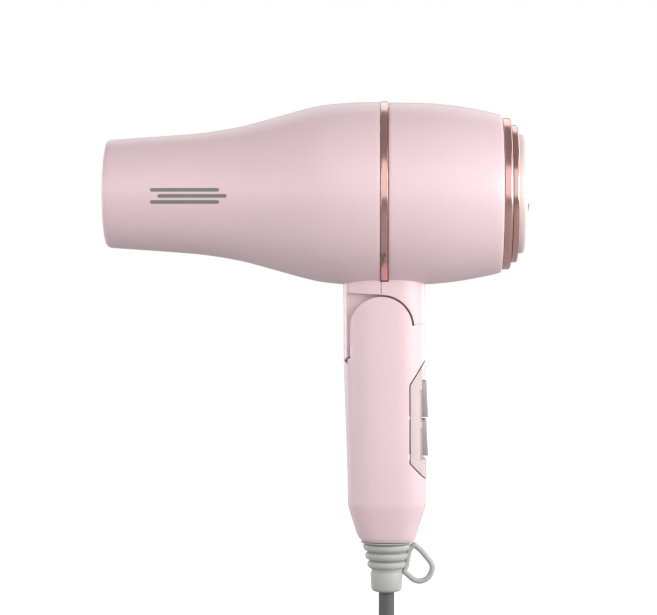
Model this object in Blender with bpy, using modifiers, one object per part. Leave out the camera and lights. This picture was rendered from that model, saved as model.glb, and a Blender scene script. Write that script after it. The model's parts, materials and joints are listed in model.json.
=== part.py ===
"""Folding hair dryer: a turned barrel on a hinged handle, with its motor, fan, heater, switches and cord.

Frame: +Z up, nozzle towards -X, air intake towards +X. The origin is in the middle of the hand grip.
All sizes are in metres.
"""

import math

import bmesh
import bpy
import numpy as np
from mathutils import Matrix, Vector

GAP = 0.0003  # air between pieces that touch on the real object
TURN_STEPS = 32
SIDES = (("left", -1), ("right", 1))
WIDE = 0.0250  # half width of a cutter that passes right through the handle
Z_AXIS = Vector((0, 0, 1))

# Barrel, turned about an axis along X.
BARREL_Z = 0.112
MOUTH_X = -0.1318
SPLIT_X = -0.0022
REAR_X = 0.0548
SHELL = 0.0021
TRIM_X = (-0.0020, 0.0012)
TRIM_R = (0.0411, 0.04365)
SEAM_X = -0.0019
FRONT_OUTLINE = (
    (MOUTH_X, 0.0244),
    (-0.1306, 0.0254),
    (-0.1283, 0.0257),
    (-0.0983, 0.0278),
    (-0.0850, 0.0290),
    (-0.0682, 0.0318),
    (-0.0523, 0.0360),
    (-0.0404, 0.0393),
    (-0.0304, 0.0416),
    (-0.0160, 0.0430),
    (SPLIT_X, 0.0433),
)
REAR_OUTLINE = (
    (0.0015, 0.0430),
    (0.0130, 0.0429),
    (0.0247, 0.0424),
    (0.0375, 0.0408),
    (0.0508, 0.0382),
    (0.0541, 0.0373),
    (REAR_X, 0.0364),
)

# Hinge between the neck and the handle, along Y.
PIVOT = (-0.0018, 0.0492)
DOME_R = 0.01455
ARC_GAP = 0.0009
NECK_GAP = 0.0004
TONGUE_Y = 0.0095
CHEEK_Y = 0.0098
LEG_Y = 0.0092
LEG_SWEEP_R = 0.0245
SHOULDER_DEG = 3.9
SHOULDER_END_Z = 0.0522
NOTCH_Z = (0.0305, 0.0349)
LEG_INNER_X = -0.0168
LEG_OUTLINE = (
    (-WIDE, 0.0306),
    (LEG_INNER_X, 0.0354),
    (LEG_INNER_X, 0.0400),
    (-0.0130, 0.0440),
    (-0.0100, 0.0600),
    (-0.0100, 0.0690),
    (-WIDE, 0.0690),
)
NECK_TOP = ((-WIDE, 0.0650), (LEG_INNER_X, 0.0654), (SEAM_X, 0.0647), (SEAM_X, 0.0800), (-WIDE, 0.0800))
SPIGOT_OUTLINE = (
    (-0.0070, 0.0384),
    (-0.0070, 0.0422),
    (-0.0030, 0.0422),
    (-0.0030, 0.0405),
    (0.0042, 0.0405),
    (0.0042, 0.0384),
)
BARREL_BORE_R = 0.0417
TONGUE_SLOT_X = (-0.0170, 0.0166)
TONGUE_SLOT_Z = (0.0325, 0.0950)
SLEEVE_R = (0.0032, 0.0050)
SLEEVE_Y = 0.0132
SLEEVE_POCKET_Y = 0.0136
SLEEVE_THROAT = (0.0022, 0.0050, 0.0080)

# Way for the supply lead: a sector at the hinge, a channel up the neck and a mouth into the barrel.
PASSAGE_R = 0.0300
PASSAGE_Y = 0.0032
PASSAGE_DEG = {"front": (168, 285), "rear": (255, 285)}
CHANNEL_X = (-0.0150, 0.0050)
CHANNEL_Z = {"front": (0.0525, 0.0690), "rear": (0.0525, 0.0600)}
MOUTH_CUT = ((-0.0150, 0.0650), (-0.0074, 0.0760))
CHANNEL_Y = 0.0050

# Handle: height, front edge, rear edge and half depth of each cross-section.
STATIONS = (
    (-0.0526, -0.0106, 0.0138, 0.0104),
    (-0.0520, -0.0113, 0.0143, 0.0109),
    (-0.0506, -0.0127, 0.0148, 0.0117),
    (-0.0490, -0.0135, 0.0152, 0.0122),
    (-0.0375, -0.0171, 0.0188, 0.0148),
    (-0.0350, -0.0177, 0.0195, 0.0152),
    (-0.0200, -0.0178, 0.0198, 0.0154),
    (0.0333, -0.0196, 0.0191, 0.0155),
    (0.0900, -0.0199, 0.0187, 0.0155),
)
ROUNDNESS = 2.8
SECTION_POINTS = 28
WALL = 0.0022
HANDLE_BOTTOM = -0.0526
CAVITY_Z = (-0.0504, 0.0330)
SCREW_POSTS = {"lower": (-0.0098, -0.0270), "middle": (-0.0100, 0.0060)}
POST_Y = 0.0125
POST_R = 0.0029
SCREW_Y = 0.0112
SCREW_R = 0.0012

# Switch panel let into the back of the grip.
PANEL_OUTLINE = ((0.0262, 0.0458), (0.0114, 0.0222), (0.0115, -0.0148), (0.0262, -0.0305))
PANEL_DIP = ((0.0260, 0.0338), (0.0174, 0.0248), (0.0177, -0.0128), (0.0260, -0.0182))
PANEL_GAP = 0.0005
PANEL_THICKNESS = 0.0040
BAY_Y = 0.0064
ROCKER_Y = 0.0060
ROCKER_LENGTH = 0.0170
ROCKERS = (("speed", 0.0152), ("heat", -0.0031))
ROCKER_X = 0.0168
ROCKER_FACE = 0.0199
ROCKER_BACK = 0.0020
ROCKER_CHAMFER = 0.0035
SWITCH_BODY_X = (0.0021, 0.0132)
SWITCH_BODY_Y = 0.0058
SWITCH_BODY_REACH = (0.0080, 0.0078)
CONTROL_BOARD = ((0.0000, -0.0095, -0.0160), (0.0016, 0.0095, 0.0225))

# Cord guard, with the hanging loop moulded on it.
GUARD_X = 0.0008
GUARD_TOP = -0.0529
GUARD_BOTTOM = -0.0767
GUARD_NECK_R = 0.0068
GUARD_NECK_Z = (-0.0545, -0.0490)
GUARD_FLANGE_R = 0.0088
GUARD_FLANGE_Z = (-0.0501, -0.0484)
FLANGE_R = 0.0122
RIDGES = ((-0.0556, 0.0112), (-0.0598, 0.0102), (-0.0639, 0.0092))
RIDGE_DEPTH = 0.0016
COLLAR = ((-0.0676, 0.0077), (-0.0752, 0.0073))
LOOP_R = 0.00135
LOOP_ROUTE = (
    (0.0140, -0.0545),
    (0.0171, -0.0572),
    (0.0197, -0.0602),
    (0.0219, -0.0631),
    (0.0226, -0.0652),
    (0.0221, -0.0676),
    (0.0204, -0.0703),
    (0.0185, -0.0715),
    (0.0159, -0.0719),
    (0.0135, -0.0710),
    (0.0113, -0.0691),
    (0.0094, -0.0672),
    (0.0101, -0.0648),
    (0.0109, -0.0609),
    (0.0120, -0.0566),
)

# Cord and its coil.
CORD_R = 0.00375
FLOOR_Z = -0.1500
COIL_LIFT = 0.0011
COIL_RADII = (0.0375, 0.0525)
CORD_TOP = -0.0550
LEAD_BEND = 0.0320
HEADING = math.radians(124.3)
TAIL_LENGTH = 0.050
TIE_HALF = 0.0070
PLUG_SIZE = (0.034, 0.025, 0.018)
PIN_SPACING = 0.0127
PIN_LENGTH = 0.0180
CLAMP_Z = (-0.0470, -0.0400)
CLAMP_SCREWS = {"front": -0.0055, "rear": 0.0071}
CLAMP_SCREW_R = 0.0010
CLAMP_SCREW_Y = 0.0078
JAW_HALF_X = 0.0085
JAW_Y = (0.0004, 0.0072)
SHEATH_TOP = -0.0350
LEAD_R = 0.0012
HANDLE_LEAD = (
    (0.0008, 0.0229),
    (0.0004, 0.0280),
    (-0.0010, 0.0340),
    (PIVOT[0], 0.0406),
    (PIVOT[0], 0.0436),
)
BARREL_LEAD = (
    (PIVOT[0] - 0.0020, 0.0554),
    (-0.0072, 0.0589),
    (-0.0110, 0.0645),
    (-0.0116, 0.0710),
    (-0.0160, 0.0770),
    (-0.0250, 0.0810),
    (-0.0340, 0.0835),
)

# Air path.
MOTOR_R = 0.0138
MOTOR_X = (-0.0080, 0.0200)
MOTOR_WALL = 0.0010
SHAFT_R = 0.00115
DUCT_R = (0.0356, 0.0370)
DUCT_X = (-0.0070, 0.0430)
DUCT_THROAT = (-0.0330, 0.0258)
CUP_X = (0.0000, 0.0160)
CUP_WALL = 0.0014
FAN_X = (0.0250, 0.0370)
FAN_R = 0.0346
FAN_BLADES = 9
HUB_R = 0.0125
BLADE_HALF = (0.0068, 0.0007)
BLADE_PITCH = math.radians(52)
VANES = 7
CARRIER_OUTLINE = (
    (0.0450, 0.0324),
    (0.0450, 0.0339),
    (0.0588, 0.0339),
    (0.0588, 0.0303),
    (0.0618, 0.0303),
    (0.0618, 0.0290),
    (0.0572, 0.0290),
    (0.0572, 0.0324),
)
RING_OUTER = ((0.0551, 0.0342), (0.0551, 0.0357), (0.0578, 0.0357), (0.0588, 0.0350), (0.0588, 0.0342))
RING_MIDDLE = ((0.0591, 0.0306), (0.0591, 0.0324), (0.0612, 0.0322), (0.0621, 0.0314), (0.0621, 0.0306))
DOME = ((0.0622, 0.0), (0.0622, 0.0282), (0.0645, 0.0280), (0.0657, 0.0268), (0.0660, 0.0250), (0.0660, 0.0))
CAP = ((0.0663, 0.0), (0.0663, 0.0101), (0.0672, 0.0097), (0.0677, 0.0080), (0.0680, 0.0040), (0.0680, 0.0))
INTAKE_SLOTS = 16
INTAKE_SLOT_R = (0.0135, 0.0245)
INTAKE_SLOT_HALF = 0.0008
FILTER_X = (0.0528, 0.0536)
FILTER_R = 0.0320
GRILLE_X = (-0.1180, -0.1140)
GRILLE_R = (0.0222, 0.0239)
GRILLE_HUB_R = (0.0080, 0.0095)
GRILLE_BARS = 3
HEATER_X = (-0.1040, -0.0340)
HEATER_R = (0.0232, 0.0240)
BOARD_HALF = 0.0200
BOARD_HALF_THICKNESS = 0.0004
ELEMENT_R = 0.0213
ELEMENT_WIRE = 0.0008
ELEMENT_TURNS = 6
ELEMENT_INSET = 0.0060
THERMOSTAT = ((-0.0600, 0.0010, BARREL_Z + 0.0060), (-0.0520, 0.0052, BARREL_Z + 0.0140))
FUSE_ENDS = ((-0.0860, 0.0030, BARREL_Z + 0.0090), (-0.0740, 0.0030, BARREL_Z + 0.0090))
FUSE_R = 0.0020

PINK = (0.81, 0.57, 0.60)
ROSE_GOLD = (0.63, 0.40, 0.35)
PALE_METAL = (0.85, 0.70, 0.67)
PALE_PANEL = (0.76, 0.64, 0.62)
GREY_PLASTIC = (0.40, 0.40, 0.41)
SOFT_GREY = (0.44, 0.44, 0.43)
CORD_GREY = (0.10, 0.10, 0.10)
BLACK_PLASTIC = (0.03, 0.03, 0.03)
STEEL = (0.55, 0.56, 0.57)
MICA = (0.62, 0.55, 0.42)
BRASS = (0.72, 0.56, 0.26)
BOARD_GREEN = (0.06, 0.22, 0.10)
COPPER = (0.72, 0.36, 0.20)
DARK_STEEL = (0.10, 0.10, 0.11)
WHITE_PLASTIC = (0.80, 0.79, 0.76)
MESH_BLACK = (0.05, 0.05, 0.05)
INSULATION = (0.60, 0.60, 0.58)


def clear_scene():
    for old in list(bpy.data.objects):
        bpy.data.objects.remove(old, do_unlink=True)


def collection(name, hidden):
    made = bpy.data.collections.new(name)
    bpy.context.scene.collection.children.link(made)
    made.hide_render = hidden
    return made


def finish(name, colour, roughness, metallic=0.0):
    made = bpy.data.materials.new(name)
    made.use_nodes = True
    shader = made.node_tree.nodes["Principled BSDF"]
    shader.inputs["Base Color"].default_value = (*colour, 1.0)
    shader.inputs["Roughness"].default_value = roughness
    shader.inputs["Metallic"].default_value = metallic
    return made


def place(name, mesh, material, parent=None, location=(0, 0, 0)):
    """Puts a mesh in the model, or among the cutters when it has no material."""
    made = bpy.data.objects.new(name, mesh)
    if material is None:
        CUTTERS.objects.link(made)
        made.hide_render = True
        made.display_type = "WIRE"
    else:
        PARTS.objects.link(made)
        mesh.materials.clear()
        mesh.materials.append(material)
    made.location = location
    if parent is not None:
        made.parent = parent
    return made


def from_bmesh(name, bm, material, smooth=True):
    mesh = bpy.data.meshes.new(name)
    bmesh.ops.recalc_face_normals(bm, faces=bm.faces)
    bm.to_mesh(mesh)
    bm.free()
    if smooth:
        mesh.shade_smooth()
        mesh.set_sharp_from_angle(angle=math.radians(35))
    return place(name, mesh, material)


def boolean(target, operation, *others):
    for other in others:
        modifier = target.modifiers.new(other.name, "BOOLEAN")
        modifier.operation = operation
        modifier.object = other
    return target


def cut(target, *others):
    return boolean(target, "DIFFERENCE", *others)


def join(target, *others):
    return boolean(target, "UNION", *others)


def box(name, low, high, material=None, bevel=0.0):
    low, high = Vector(low), Vector(high)
    bm = bmesh.new()
    bmesh.ops.create_cube(bm, size=1.0)
    bmesh.ops.scale(bm, vec=high - low, verts=bm.verts)
    bmesh.ops.translate(bm, vec=(low + high) / 2, verts=bm.verts)
    made = from_bmesh(name, bm, material, smooth=False)
    if bevel:
        modifier = made.modifiers.new("edges", "BEVEL")
        modifier.width = bevel
        modifier.segments = 2
    return made


def rod(name, start, end, radius, material=None, end_radius=None, sides=24):
    """A cylinder, or a cone with end_radius, between two points."""
    start, end = Vector(start), Vector(end)
    along = end - start
    turn = along.to_track_quat("Z", "Y").to_matrix().to_4x4()
    bm = bmesh.new()
    bmesh.ops.create_cone(
        bm,
        cap_ends=True,
        segments=sides,
        radius1=radius,
        radius2=radius if end_radius is None else end_radius,
        depth=along.length,
        matrix=Matrix.Translation((start + end) / 2) @ turn,
    )
    return from_bmesh(name, bm, material)


def turned(name, outline, material=None, steps=TURN_STEPS, centre=(0, 0, BARREL_Z), upright=False):
    """A closed (height, radius) outline turned about an axis through centre, along X or upright along Z."""
    points = [(height, radius) for height, radius in outline]
    area = sum(a[0] * b[1] - b[0] * a[1] for a, b in zip(points, points[1:] + points[:1]))
    if area < 0:
        points.reverse()
    bm = bmesh.new()
    verts = [bm.verts.new((radius, 0, height)) for height, radius in points]
    for a, b in zip(verts, verts[1:] + verts[:1]):
        if a.co.x > 0 or b.co.x > 0:
            bm.edges.new((a, b))
    mesh = bpy.data.meshes.new(name)
    bm.to_mesh(mesh)
    bm.free()
    made = place(name, mesh, material, location=centre)
    made.rotation_euler = (0, 0 if upright else math.pi / 2, 0)
    screw = made.modifiers.new("turn", "SCREW")
    screw.steps = steps
    screw.render_steps = steps
    screw.use_merge_vertices = True
    screw.merge_threshold = 0.00001
    screw.use_smooth_shade = True
    return made


def ring(name, low_x, high_x, inner, outer, material=None, **options):
    """A plain tube about the barrel's axis."""
    outline = ((low_x, inner), (low_x, outer), (high_x, outer), (high_x, inner))
    return turned(name, outline, material, **options)


def slab(name, outline, half, material=None, middle=0.0, upright=True):
    """A flat outline given thickness: an (x, z) outline across Y, or an (x, y) outline across Z."""
    data = bpy.data.curves.new(name, "CURVE")
    data.dimensions = "2D"
    data.fill_mode = "BOTH"
    data.extrude = half
    spline = data.splines.new("POLY")
    spline.points.add(len(outline) - 1)
    for point, (a, b) in zip(spline.points, outline):
        point.co = (a, b, 0, 1)
    spline.use_cyclic_u = True
    guide = bpy.data.objects.new(name, data)
    CUTTERS.objects.link(guide)
    if upright:
        guide.rotation_euler = (math.pi / 2, 0, 0)
        guide.location = (0, middle, 0)
    else:
        guide.location = (0, 0, middle)
    return as_mesh(guide, material)


def as_mesh(guide, material):
    """A curve object made into a welded mesh object of the same name and place."""
    bpy.context.view_layer.update()
    graph = bpy.context.evaluated_depsgraph_get()
    mesh = bpy.data.meshes.new_from_object(guide.evaluated_get(graph), depsgraph=graph)
    mesh.transform(guide.matrix_world)
    name = guide.name
    data = guide.data
    bpy.data.objects.remove(guide)
    bpy.data.curves.remove(data)
    bm = bmesh.new()
    bm.from_mesh(mesh)
    bpy.data.meshes.remove(mesh)
    bmesh.ops.remove_doubles(bm, verts=bm.verts, dist=0.000005)
    return from_bmesh(name, bm, material)


def tube(name, points, radius, material, resolution=3, closed=False):
    data = bpy.data.curves.new(name, "CURVE")
    data.dimensions = "3D"
    data.bevel_depth = radius
    data.bevel_resolution = resolution
    data.use_fill_caps = True
    spline = data.splines.new("POLY")
    spline.points.add(len(points) - 1)
    for point, place_at in zip(spline.points, points):
        point.co = (*place_at, 1)
    spline.use_cyclic_u = closed
    made = bpy.data.objects.new(name, data)
    data.materials.append(material)
    PARTS.objects.link(made)
    return made


def smooth_route(points, count):
    """Evenly spaced points on a smooth curve through the given ones (a centripetal Catmull-Rom spline)."""
    line = [Vector(p) for p in points]
    line = [2 * line[0] - line[1], *line, 2 * line[-1] - line[-2]]
    dense = []
    for a, b, c, d in zip(line, line[1:], line[2:], line[3:]):
        knots = [0.0]
        for p, q in ((a, b), (b, c), (c, d)):
            knots.append(knots[-1] + math.sqrt((q - p).length))
        t0, t1, t2, t3 = knots
        for t in np.linspace(t1, t2, 12, endpoint=False):
            ab = a.lerp(b, (t - t0) / (t1 - t0))
            bc = b.lerp(c, (t - t1) / (t2 - t1))
            cd = c.lerp(d, (t - t2) / (t3 - t2))
            left = ab.lerp(bc, (t - t0) / (t2 - t0))
            right = bc.lerp(cd, (t - t1) / (t3 - t1))
            dense.append(left.lerp(right, (t - t1) / (t2 - t1)))
    dense.append(line[-2])
    run = np.concatenate([[0.0], np.cumsum([(q - p).length for p, q in zip(dense, dense[1:])])])
    stops = np.linspace(0, run[-1], count)
    coords = np.array([tuple(p) for p in dense])
    return [Vector(np.interp(s, run, coords[:, k]) for k in range(3)) for s in stops]


def handle_ring(z, inset):
    """The cross-section of the handle and neck at height z: a soft-cornered oblong."""
    heights, fronts, rears, depths = zip(*STATIONS)
    front = np.interp(z, heights, fronts) + inset
    rear = np.interp(z, heights, rears) - inset
    depth = np.interp(z, heights, depths) - inset
    middle, half = (front + rear) / 2, (rear - front) / 2
    points = []
    for step in range(SECTION_POINTS):
        angle = 2 * math.pi * step / SECTION_POINTS
        c, s = math.cos(angle), math.sin(angle)
        x = middle + half * math.copysign(abs(c) ** (2 / ROUNDNESS), c)
        y = depth * math.copysign(abs(s) ** (2 / ROUNDNESS), s)
        points.append((x, y, z))
    return points


def handle_loft(name, low, high, inset, material=None):
    heights = [low, *(s[0] for s in STATIONS if low + 0.0002 < s[0] < high - 0.0002), high]
    bm = bmesh.new()
    rows = [[bm.verts.new(p) for p in handle_ring(z, inset)] for z in heights]
    for below, above in zip(rows, rows[1:]):
        for k in range(SECTION_POINTS):
            n = (k + 1) % SECTION_POINTS
            bm.faces.new((below[k], below[n], above[n], above[k]))
    bm.faces.new(rows[0])
    bm.faces.new(rows[-1])
    return from_bmesh(name, bm, material)


def around_pivot(radius, degrees):
    angle = math.radians(degrees)
    return (PIVOT[0] + radius * math.cos(angle), PIVOT[1] + radius * math.sin(angle))


def arc(radius, start, end, steps):
    return [around_pivot(radius, d) for d in np.linspace(start, end, steps)]


def shoulder_line(radius, gap):
    """The slanting joint behind the dome, from the given radius out past the skin."""
    start = around_pivot(radius, SHOULDER_DEG)
    return [(start[0], start[1] + gap), (WIDE, SHOULDER_END_Z + gap)]


def neck_zone(name, radius, gap):
    """All that belongs to the neck, seen from the side: above the dome, the shoulder and the front notch."""
    inner = around_pivot(radius, 180)[0]
    outline = arc(radius, SHOULDER_DEG, 180, 24)
    outline += [(inner, NOTCH_Z[1] + gap), (-WIDE, NOTCH_Z[0] + gap), (-WIDE, 0.0900), (WIDE, 0.0900)]
    outline.append(shoulder_line(radius, gap)[1])
    outline[0] = shoulder_line(radius, gap)[0]
    return slab(name, outline, WIDE)


def make_handle():
    """Two half shells, hollowed for the switches and open at the top for the neck's tongue and leg."""
    slot_low = (TONGUE_SLOT_X[0], -CHEEK_Y, TONGUE_SLOT_Z[0])
    slot_high = (TONGUE_SLOT_X[1], CHEEK_Y, TONGUE_SLOT_Z[1])
    cutters = [
        neck_zone("cut_neck_space", DOME_R, 0),
        handle_loft("cut_cavity", CAVITY_Z[0], CAVITY_Z[1], WALL),
        box("cut_tongue_slot", slot_low, slot_high),
        slab("cut_leg_sweep", [PIVOT, *arc(LEG_SWEEP_R, 150, 308, 24)], LEG_Y + GAP),
        across("cut_sleeve_pocket", PIVOT, SLEEVE_POCKET_Y, SLEEVE_R[1] + GAP),
        slab("cut_panel_space", PANEL_OUTLINE, WIDE),
        rod("cut_guard_hole", (GUARD_X, 0, -0.0560), (GUARD_X, 0, -0.0450), GUARD_NECK_R + NECK_GAP),
    ]
    for side, sign in SIDES:
        shell = handle_loft(f"handle_shell_{side}", HANDLE_BOTTOM, 0.0700, 0, FINISHES["pink"])
        ends = sorted((-sign * 0.040, sign * GAP / 2))
        far = box(f"cut_far_side_{side}", (-0.05, ends[0], -0.08), (0.05, ends[1], 0.10))
        cut(shell, *cutters)
        for level, (x, z) in SCREW_POSTS.items():
            inner, outer = Vector((x, sign * GAP, z)), Vector((x, sign * POST_Y, z))
            join(shell, rod(f"post_{side}_{level}", inner, outer, POST_R, sides=16))
        cut(shell, far)
        for level, at in SCREW_POSTS.items():
            hole = across(f"screw_hole_{side}_{level}", at, SCREW_Y + GAP, SCREW_R + GAP, sides=12)
            cut(shell, hole)


def across(name, at, half, radius, material=None, sides=24):
    """A cylinder along Y through the point (x, z)."""
    return rod(name, (at[0], -half, at[1]), (at[0], half, at[1]), radius, material, sides=sides)


def make_handle_screws():
    for level, at in SCREW_POSTS.items():
        across(f"handle_screw_{level}", at, SCREW_Y, SCREW_R, FINISHES["steel"], sides=12)


def make_hinge_sleeve():
    sleeve = across("hinge_sleeve", PIVOT, SLEEVE_Y, SLEEVE_R[1], FINISHES["steel"])
    middle, half = Vector((PIVOT[0], 0, PIVOT[1])), Vector(SLEEVE_THROAT)
    throat = box("cut_sleeve_throat", middle - half, middle + half)
    cut(sleeve, across("cut_sleeve_bore", PIVOT, WIDE, SLEEVE_R[0]), throat)


def inset_outline(outline, amount):
    """A convex outline drawn in by the same amount on every side."""
    points = [Vector(p) for p in outline]
    area = sum(a.x * b.y - b.x * a.y for a, b in zip(points, points[1:] + points[:1]))
    turn = math.copysign(1, area)
    made = []
    for before, at, after in zip(points[-1:] + points[:-1], points, points[1:] + points[:1]):
        first = (at - before).normalized()
        second = (after - at).normalized()
        first_in = turn * Vector((-first.y, first.x))
        second_in = turn * Vector((-second.y, second.x))
        made.append(tuple(at + amount * (first_in + second_in) / (1 + first_in.dot(second_in))))
    return made


def make_switch_panel():
    panel = handle_loft("switch_panel", -0.0300, 0.0400, 0.00005, FINISHES["panel"])
    boolean(panel, "INTERSECT", slab("keep_panel", inset_outline(PANEL_OUTLINE, PANEL_GAP), WIDE))
    cut(panel, handle_loft("cut_panel_inside", -0.0260, 0.0300, PANEL_THICKNESS))
    cut(panel, slab("cut_panel_dip", PANEL_DIP, WIDE))
    for name, z in ROCKERS:
        half = ROCKER_LENGTH / 2 + 0.0002
        cut(panel, box(f"cut_{name}_bay", (0.0100, -BAY_Y, z - half), (0.0240, BAY_Y, z + half)))


def make_rocker(name, z):
    """A key on a cross axis: its lower end stands out while it is off."""
    pivot = bpy.data.objects.new(f"{name}_pivot", None)
    PARTS.objects.link(pivot)
    pivot.location = (ROCKER_X, 0, z)
    half = ROCKER_LENGTH / 2
    face = ROCKER_FACE - ROCKER_X
    outline = (
        (-ROCKER_BACK, -half + ROCKER_CHAMFER),
        (0.0006, -half),
        (face + 0.0006, -half),
        (face + 0.0001, 0.0),
        (face - 0.0002, half),
        (0.0006, half),
        (-ROCKER_BACK, half - ROCKER_CHAMFER),
    )
    slab(f"{name}_rocker", outline, ROCKER_Y, FINISHES["rocker"]).parent = pivot


def make_switches():
    for name, z in ROCKERS:
        make_rocker(name, z)
        low = (SWITCH_BODY_X[0], -SWITCH_BODY_Y, z - SWITCH_BODY_REACH[0])
        high = (SWITCH_BODY_X[1], SWITCH_BODY_Y, z + SWITCH_BODY_REACH[1])
        box(f"{name}_switch_body", low, high, FINISHES["black"])
    box("control_board", *CONTROL_BOARD, FINISHES["board"])


def stem(name, low, high, radius, material=None, sides=24):
    """An upright cylinder round the cord's line."""
    return rod(name, (GUARD_X, 0, low), (GUARD_X, 0, high), radius, material, sides=sides)


def make_guard():
    """A ribbed sleeve under the handle, turned about the cord, with its loop joined on behind."""
    outline = [(GUARD_TOP, 0.0), (GUARD_TOP, FLANGE_R), (GUARD_TOP - 0.0006, FLANGE_R)]
    outline.append((GUARD_TOP - 0.0008, RIDGES[0][1] - RIDGE_DEPTH))
    for z, radius in RIDGES:
        root = radius - RIDGE_DEPTH
        outline += [(z + 0.0017, root), (z + 0.0012, radius), (z - 0.0006, radius), (z - 0.0017, root)]
    outline += [(COLLAR[0][0] + 0.0004, COLLAR[0][1] - 0.0008), *COLLAR]
    outline += [(GUARD_BOTTOM, COLLAR[1][1] - 0.0014), (GUARD_BOTTOM, 0.0)]
    centre = (GUARD_X, 0, 0)
    guard = turned("cord_guard", outline, FINISHES["soft_grey"], steps=24, centre=centre, upright=True)
    neck = stem("guard_neck", *GUARD_NECK_Z, GUARD_NECK_R)
    flange = stem("guard_flange", *GUARD_FLANGE_Z, GUARD_FLANGE_R)
    bore = stem("cut_guard_bore", -0.0400, -0.0800, CORD_R + GAP, sides=16)
    join(guard, neck, flange, guard_loop())
    cut(guard, bore)


def guard_loop():
    """The teardrop hanging loop: one closed strap whose inner side runs down the ribs."""
    data = bpy.data.curves.new("guard_loop", "CURVE")
    data.dimensions = "3D"
    data.bevel_depth = LOOP_R
    data.bevel_resolution = 2
    route = smooth_route([(x, 0, z) for x, z in (*LOOP_ROUTE, LOOP_ROUTE[0])], 25)[:-1]
    spline = data.splines.new("POLY")
    spline.points.add(len(route) - 1)
    for point, at in zip(spline.points, route):
        point.co = (*at, 1)
    spline.use_cyclic_u = True
    made = bpy.data.objects.new("guard_loop", data)
    CUTTERS.objects.link(made)
    return as_mesh(made, None)


def make_cord_clamp():
    """Two jaws that grip the cord's sheath in the foot of the handle, drawn together by two screws."""
    low, high = CLAMP_Z
    middle = (low + high) / 2
    for side, sign in SIDES:
        ends = sorted((sign * JAW_Y[0], sign * JAW_Y[1]))
        jaw_low = (GUARD_X - JAW_HALF_X, ends[0], low)
        jaw_high = (GUARD_X + JAW_HALF_X, ends[1], high)
        jaw = box(f"cord_clamp_{side}", jaw_low, jaw_high, FINISHES["black"])
        cut(jaw, stem(f"cut_clamp_groove_{side}", -0.0500, -0.0300, CORD_R + GAP, sides=16))
        for end, x in CLAMP_SCREWS.items():
            hole = across(f"cut_clamp_{side}_{end}", (x, middle), WIDE, CLAMP_SCREW_R + GAP, sides=12)
            cut(jaw, hole)
    for end, x in CLAMP_SCREWS.items():
        across(f"clamp_screw_{end}", (x, middle), CLAMP_SCREW_Y, CLAMP_SCREW_R, FINISHES["steel"], sides=12)
    stem("cord_sheath_end", CORD_TOP + GAP, SHEATH_TOP, CORD_R, FINISHES["cord"], sides=12)


def shell_of_revolution(name, outline, material):
    inner = [(x, r - SHELL) for x, r in reversed(outline)]
    return turned(name, [*outline, *inner], material)


def neck_core(name):
    """What both housings share in the neck: the full-depth block, the tongue and their bores."""
    block = handle_loft(f"{name}_block", 0.0440, 0.0745, 0)
    tongue = slab(
        f"{name}_tongue",
        [*arc(DOME_R - NECK_GAP, 180, 360, 20), (0.0130, 0.0720), (-0.0161, 0.0720)],
        TONGUE_Y,
    )
    return block, tongue


def neck_cutters(name, seam_side):
    """The seam, the barrel's inside, the trim ring's groove and the sleeve's bore."""
    ends = sorted((seam_side * 0.0600, SEAM_X - seam_side * GAP / 2))
    bore = ((-0.05, 0.0), (-0.05, BARREL_BORE_R), (0.05, BARREL_BORE_R), (0.05, 0.0))
    return [
        box(f"cut_seam_{name}", (ends[0], -0.05, 0.0), (ends[1], 0.05, 0.10)),
        turned(f"cut_bore_{name}", bore),
        ring(f"cut_groove_{name}", TRIM_X[0] - NECK_GAP, TRIM_X[1] + NECK_GAP, 0.0405, TRIM_R[1] + GAP),
        across(f"cut_bore_sleeve_{name}", PIVOT, WIDE, SLEEVE_R[1] + GAP),
    ]


def wire_passage(half):
    """The lead's way through one half of the neck: a sector round the hinge and the channel above it."""
    sector = slab(f"cut_wire_passage_{half}", [PIVOT, *arc(PASSAGE_R, *PASSAGE_DEG[half], 16)], PASSAGE_Y)
    low, high = CHANNEL_Z[half]
    channel = box(
        f"cut_wire_channel_{half}",
        (CHANNEL_X[0], -CHANNEL_Y, low),
        (CHANNEL_X[1], CHANNEL_Y, high),
    )
    return sector, channel


def make_neck_front():
    block, tongue = neck_core("neck_front")
    leg = handle_loft("neck_leg", 0.0300, 0.0700, 0)
    boolean(leg, "INTERSECT", slab("keep_leg", LEG_OUTLINE, LEG_Y))
    boolean(block, "INTERSECT", slab("keep_neck_front", NECK_TOP, WIDE))
    join(block, tongue, leg)
    return cut(block, *neck_cutters("front", 1), *wire_passage("front"))


def make_neck_rear():
    block, tongue = neck_core("neck_rear")
    boolean(block, "INTERSECT", neck_zone("keep_neck_rear", DOME_R + ARC_GAP, GAP))
    join(block, tongue)
    return cut(block, *neck_cutters("rear", -1), *wire_passage("rear"))


def make_housings():
    front = shell_of_revolution("front_housing", FRONT_OUTLINE, FINISHES["pink"])
    join(front, turned("front_spigot", SPIGOT_OUTLINE), make_neck_front())
    (left, low), (right, high) = MOUTH_CUT
    cut(front, box("cut_wire_mouth", (left, -CHANNEL_Y, low), (right, CHANNEL_Y, high)))
    rear = shell_of_revolution("rear_housing", REAR_OUTLINE, FINISHES["pink"])
    join(rear, make_neck_rear())


def make_outlet():
    grille = ring("outlet_grille", *GRILLE_X, *GRILLE_R, FINISHES["black"], steps=24)
    hub = ring("grille_hub", *GRILLE_X, *GRILLE_HUB_R, steps=20)
    reach = sum(GRILLE_R) / 2
    for k in range(GRILLE_BARS):
        low = (GRILLE_X[0] + 0.0002, -reach, -0.0006)
        high = (GRILLE_X[1] - 0.0002, reach, 0.0006)
        bar = box(f"grille_bar_{k}", low, high)
        bar.location = (0, 0, BARREL_Z)
        bar.rotation_euler = (k * math.pi / GRILLE_BARS, 0, 0)
        join(grille, bar)
    join(grille, hub)


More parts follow.
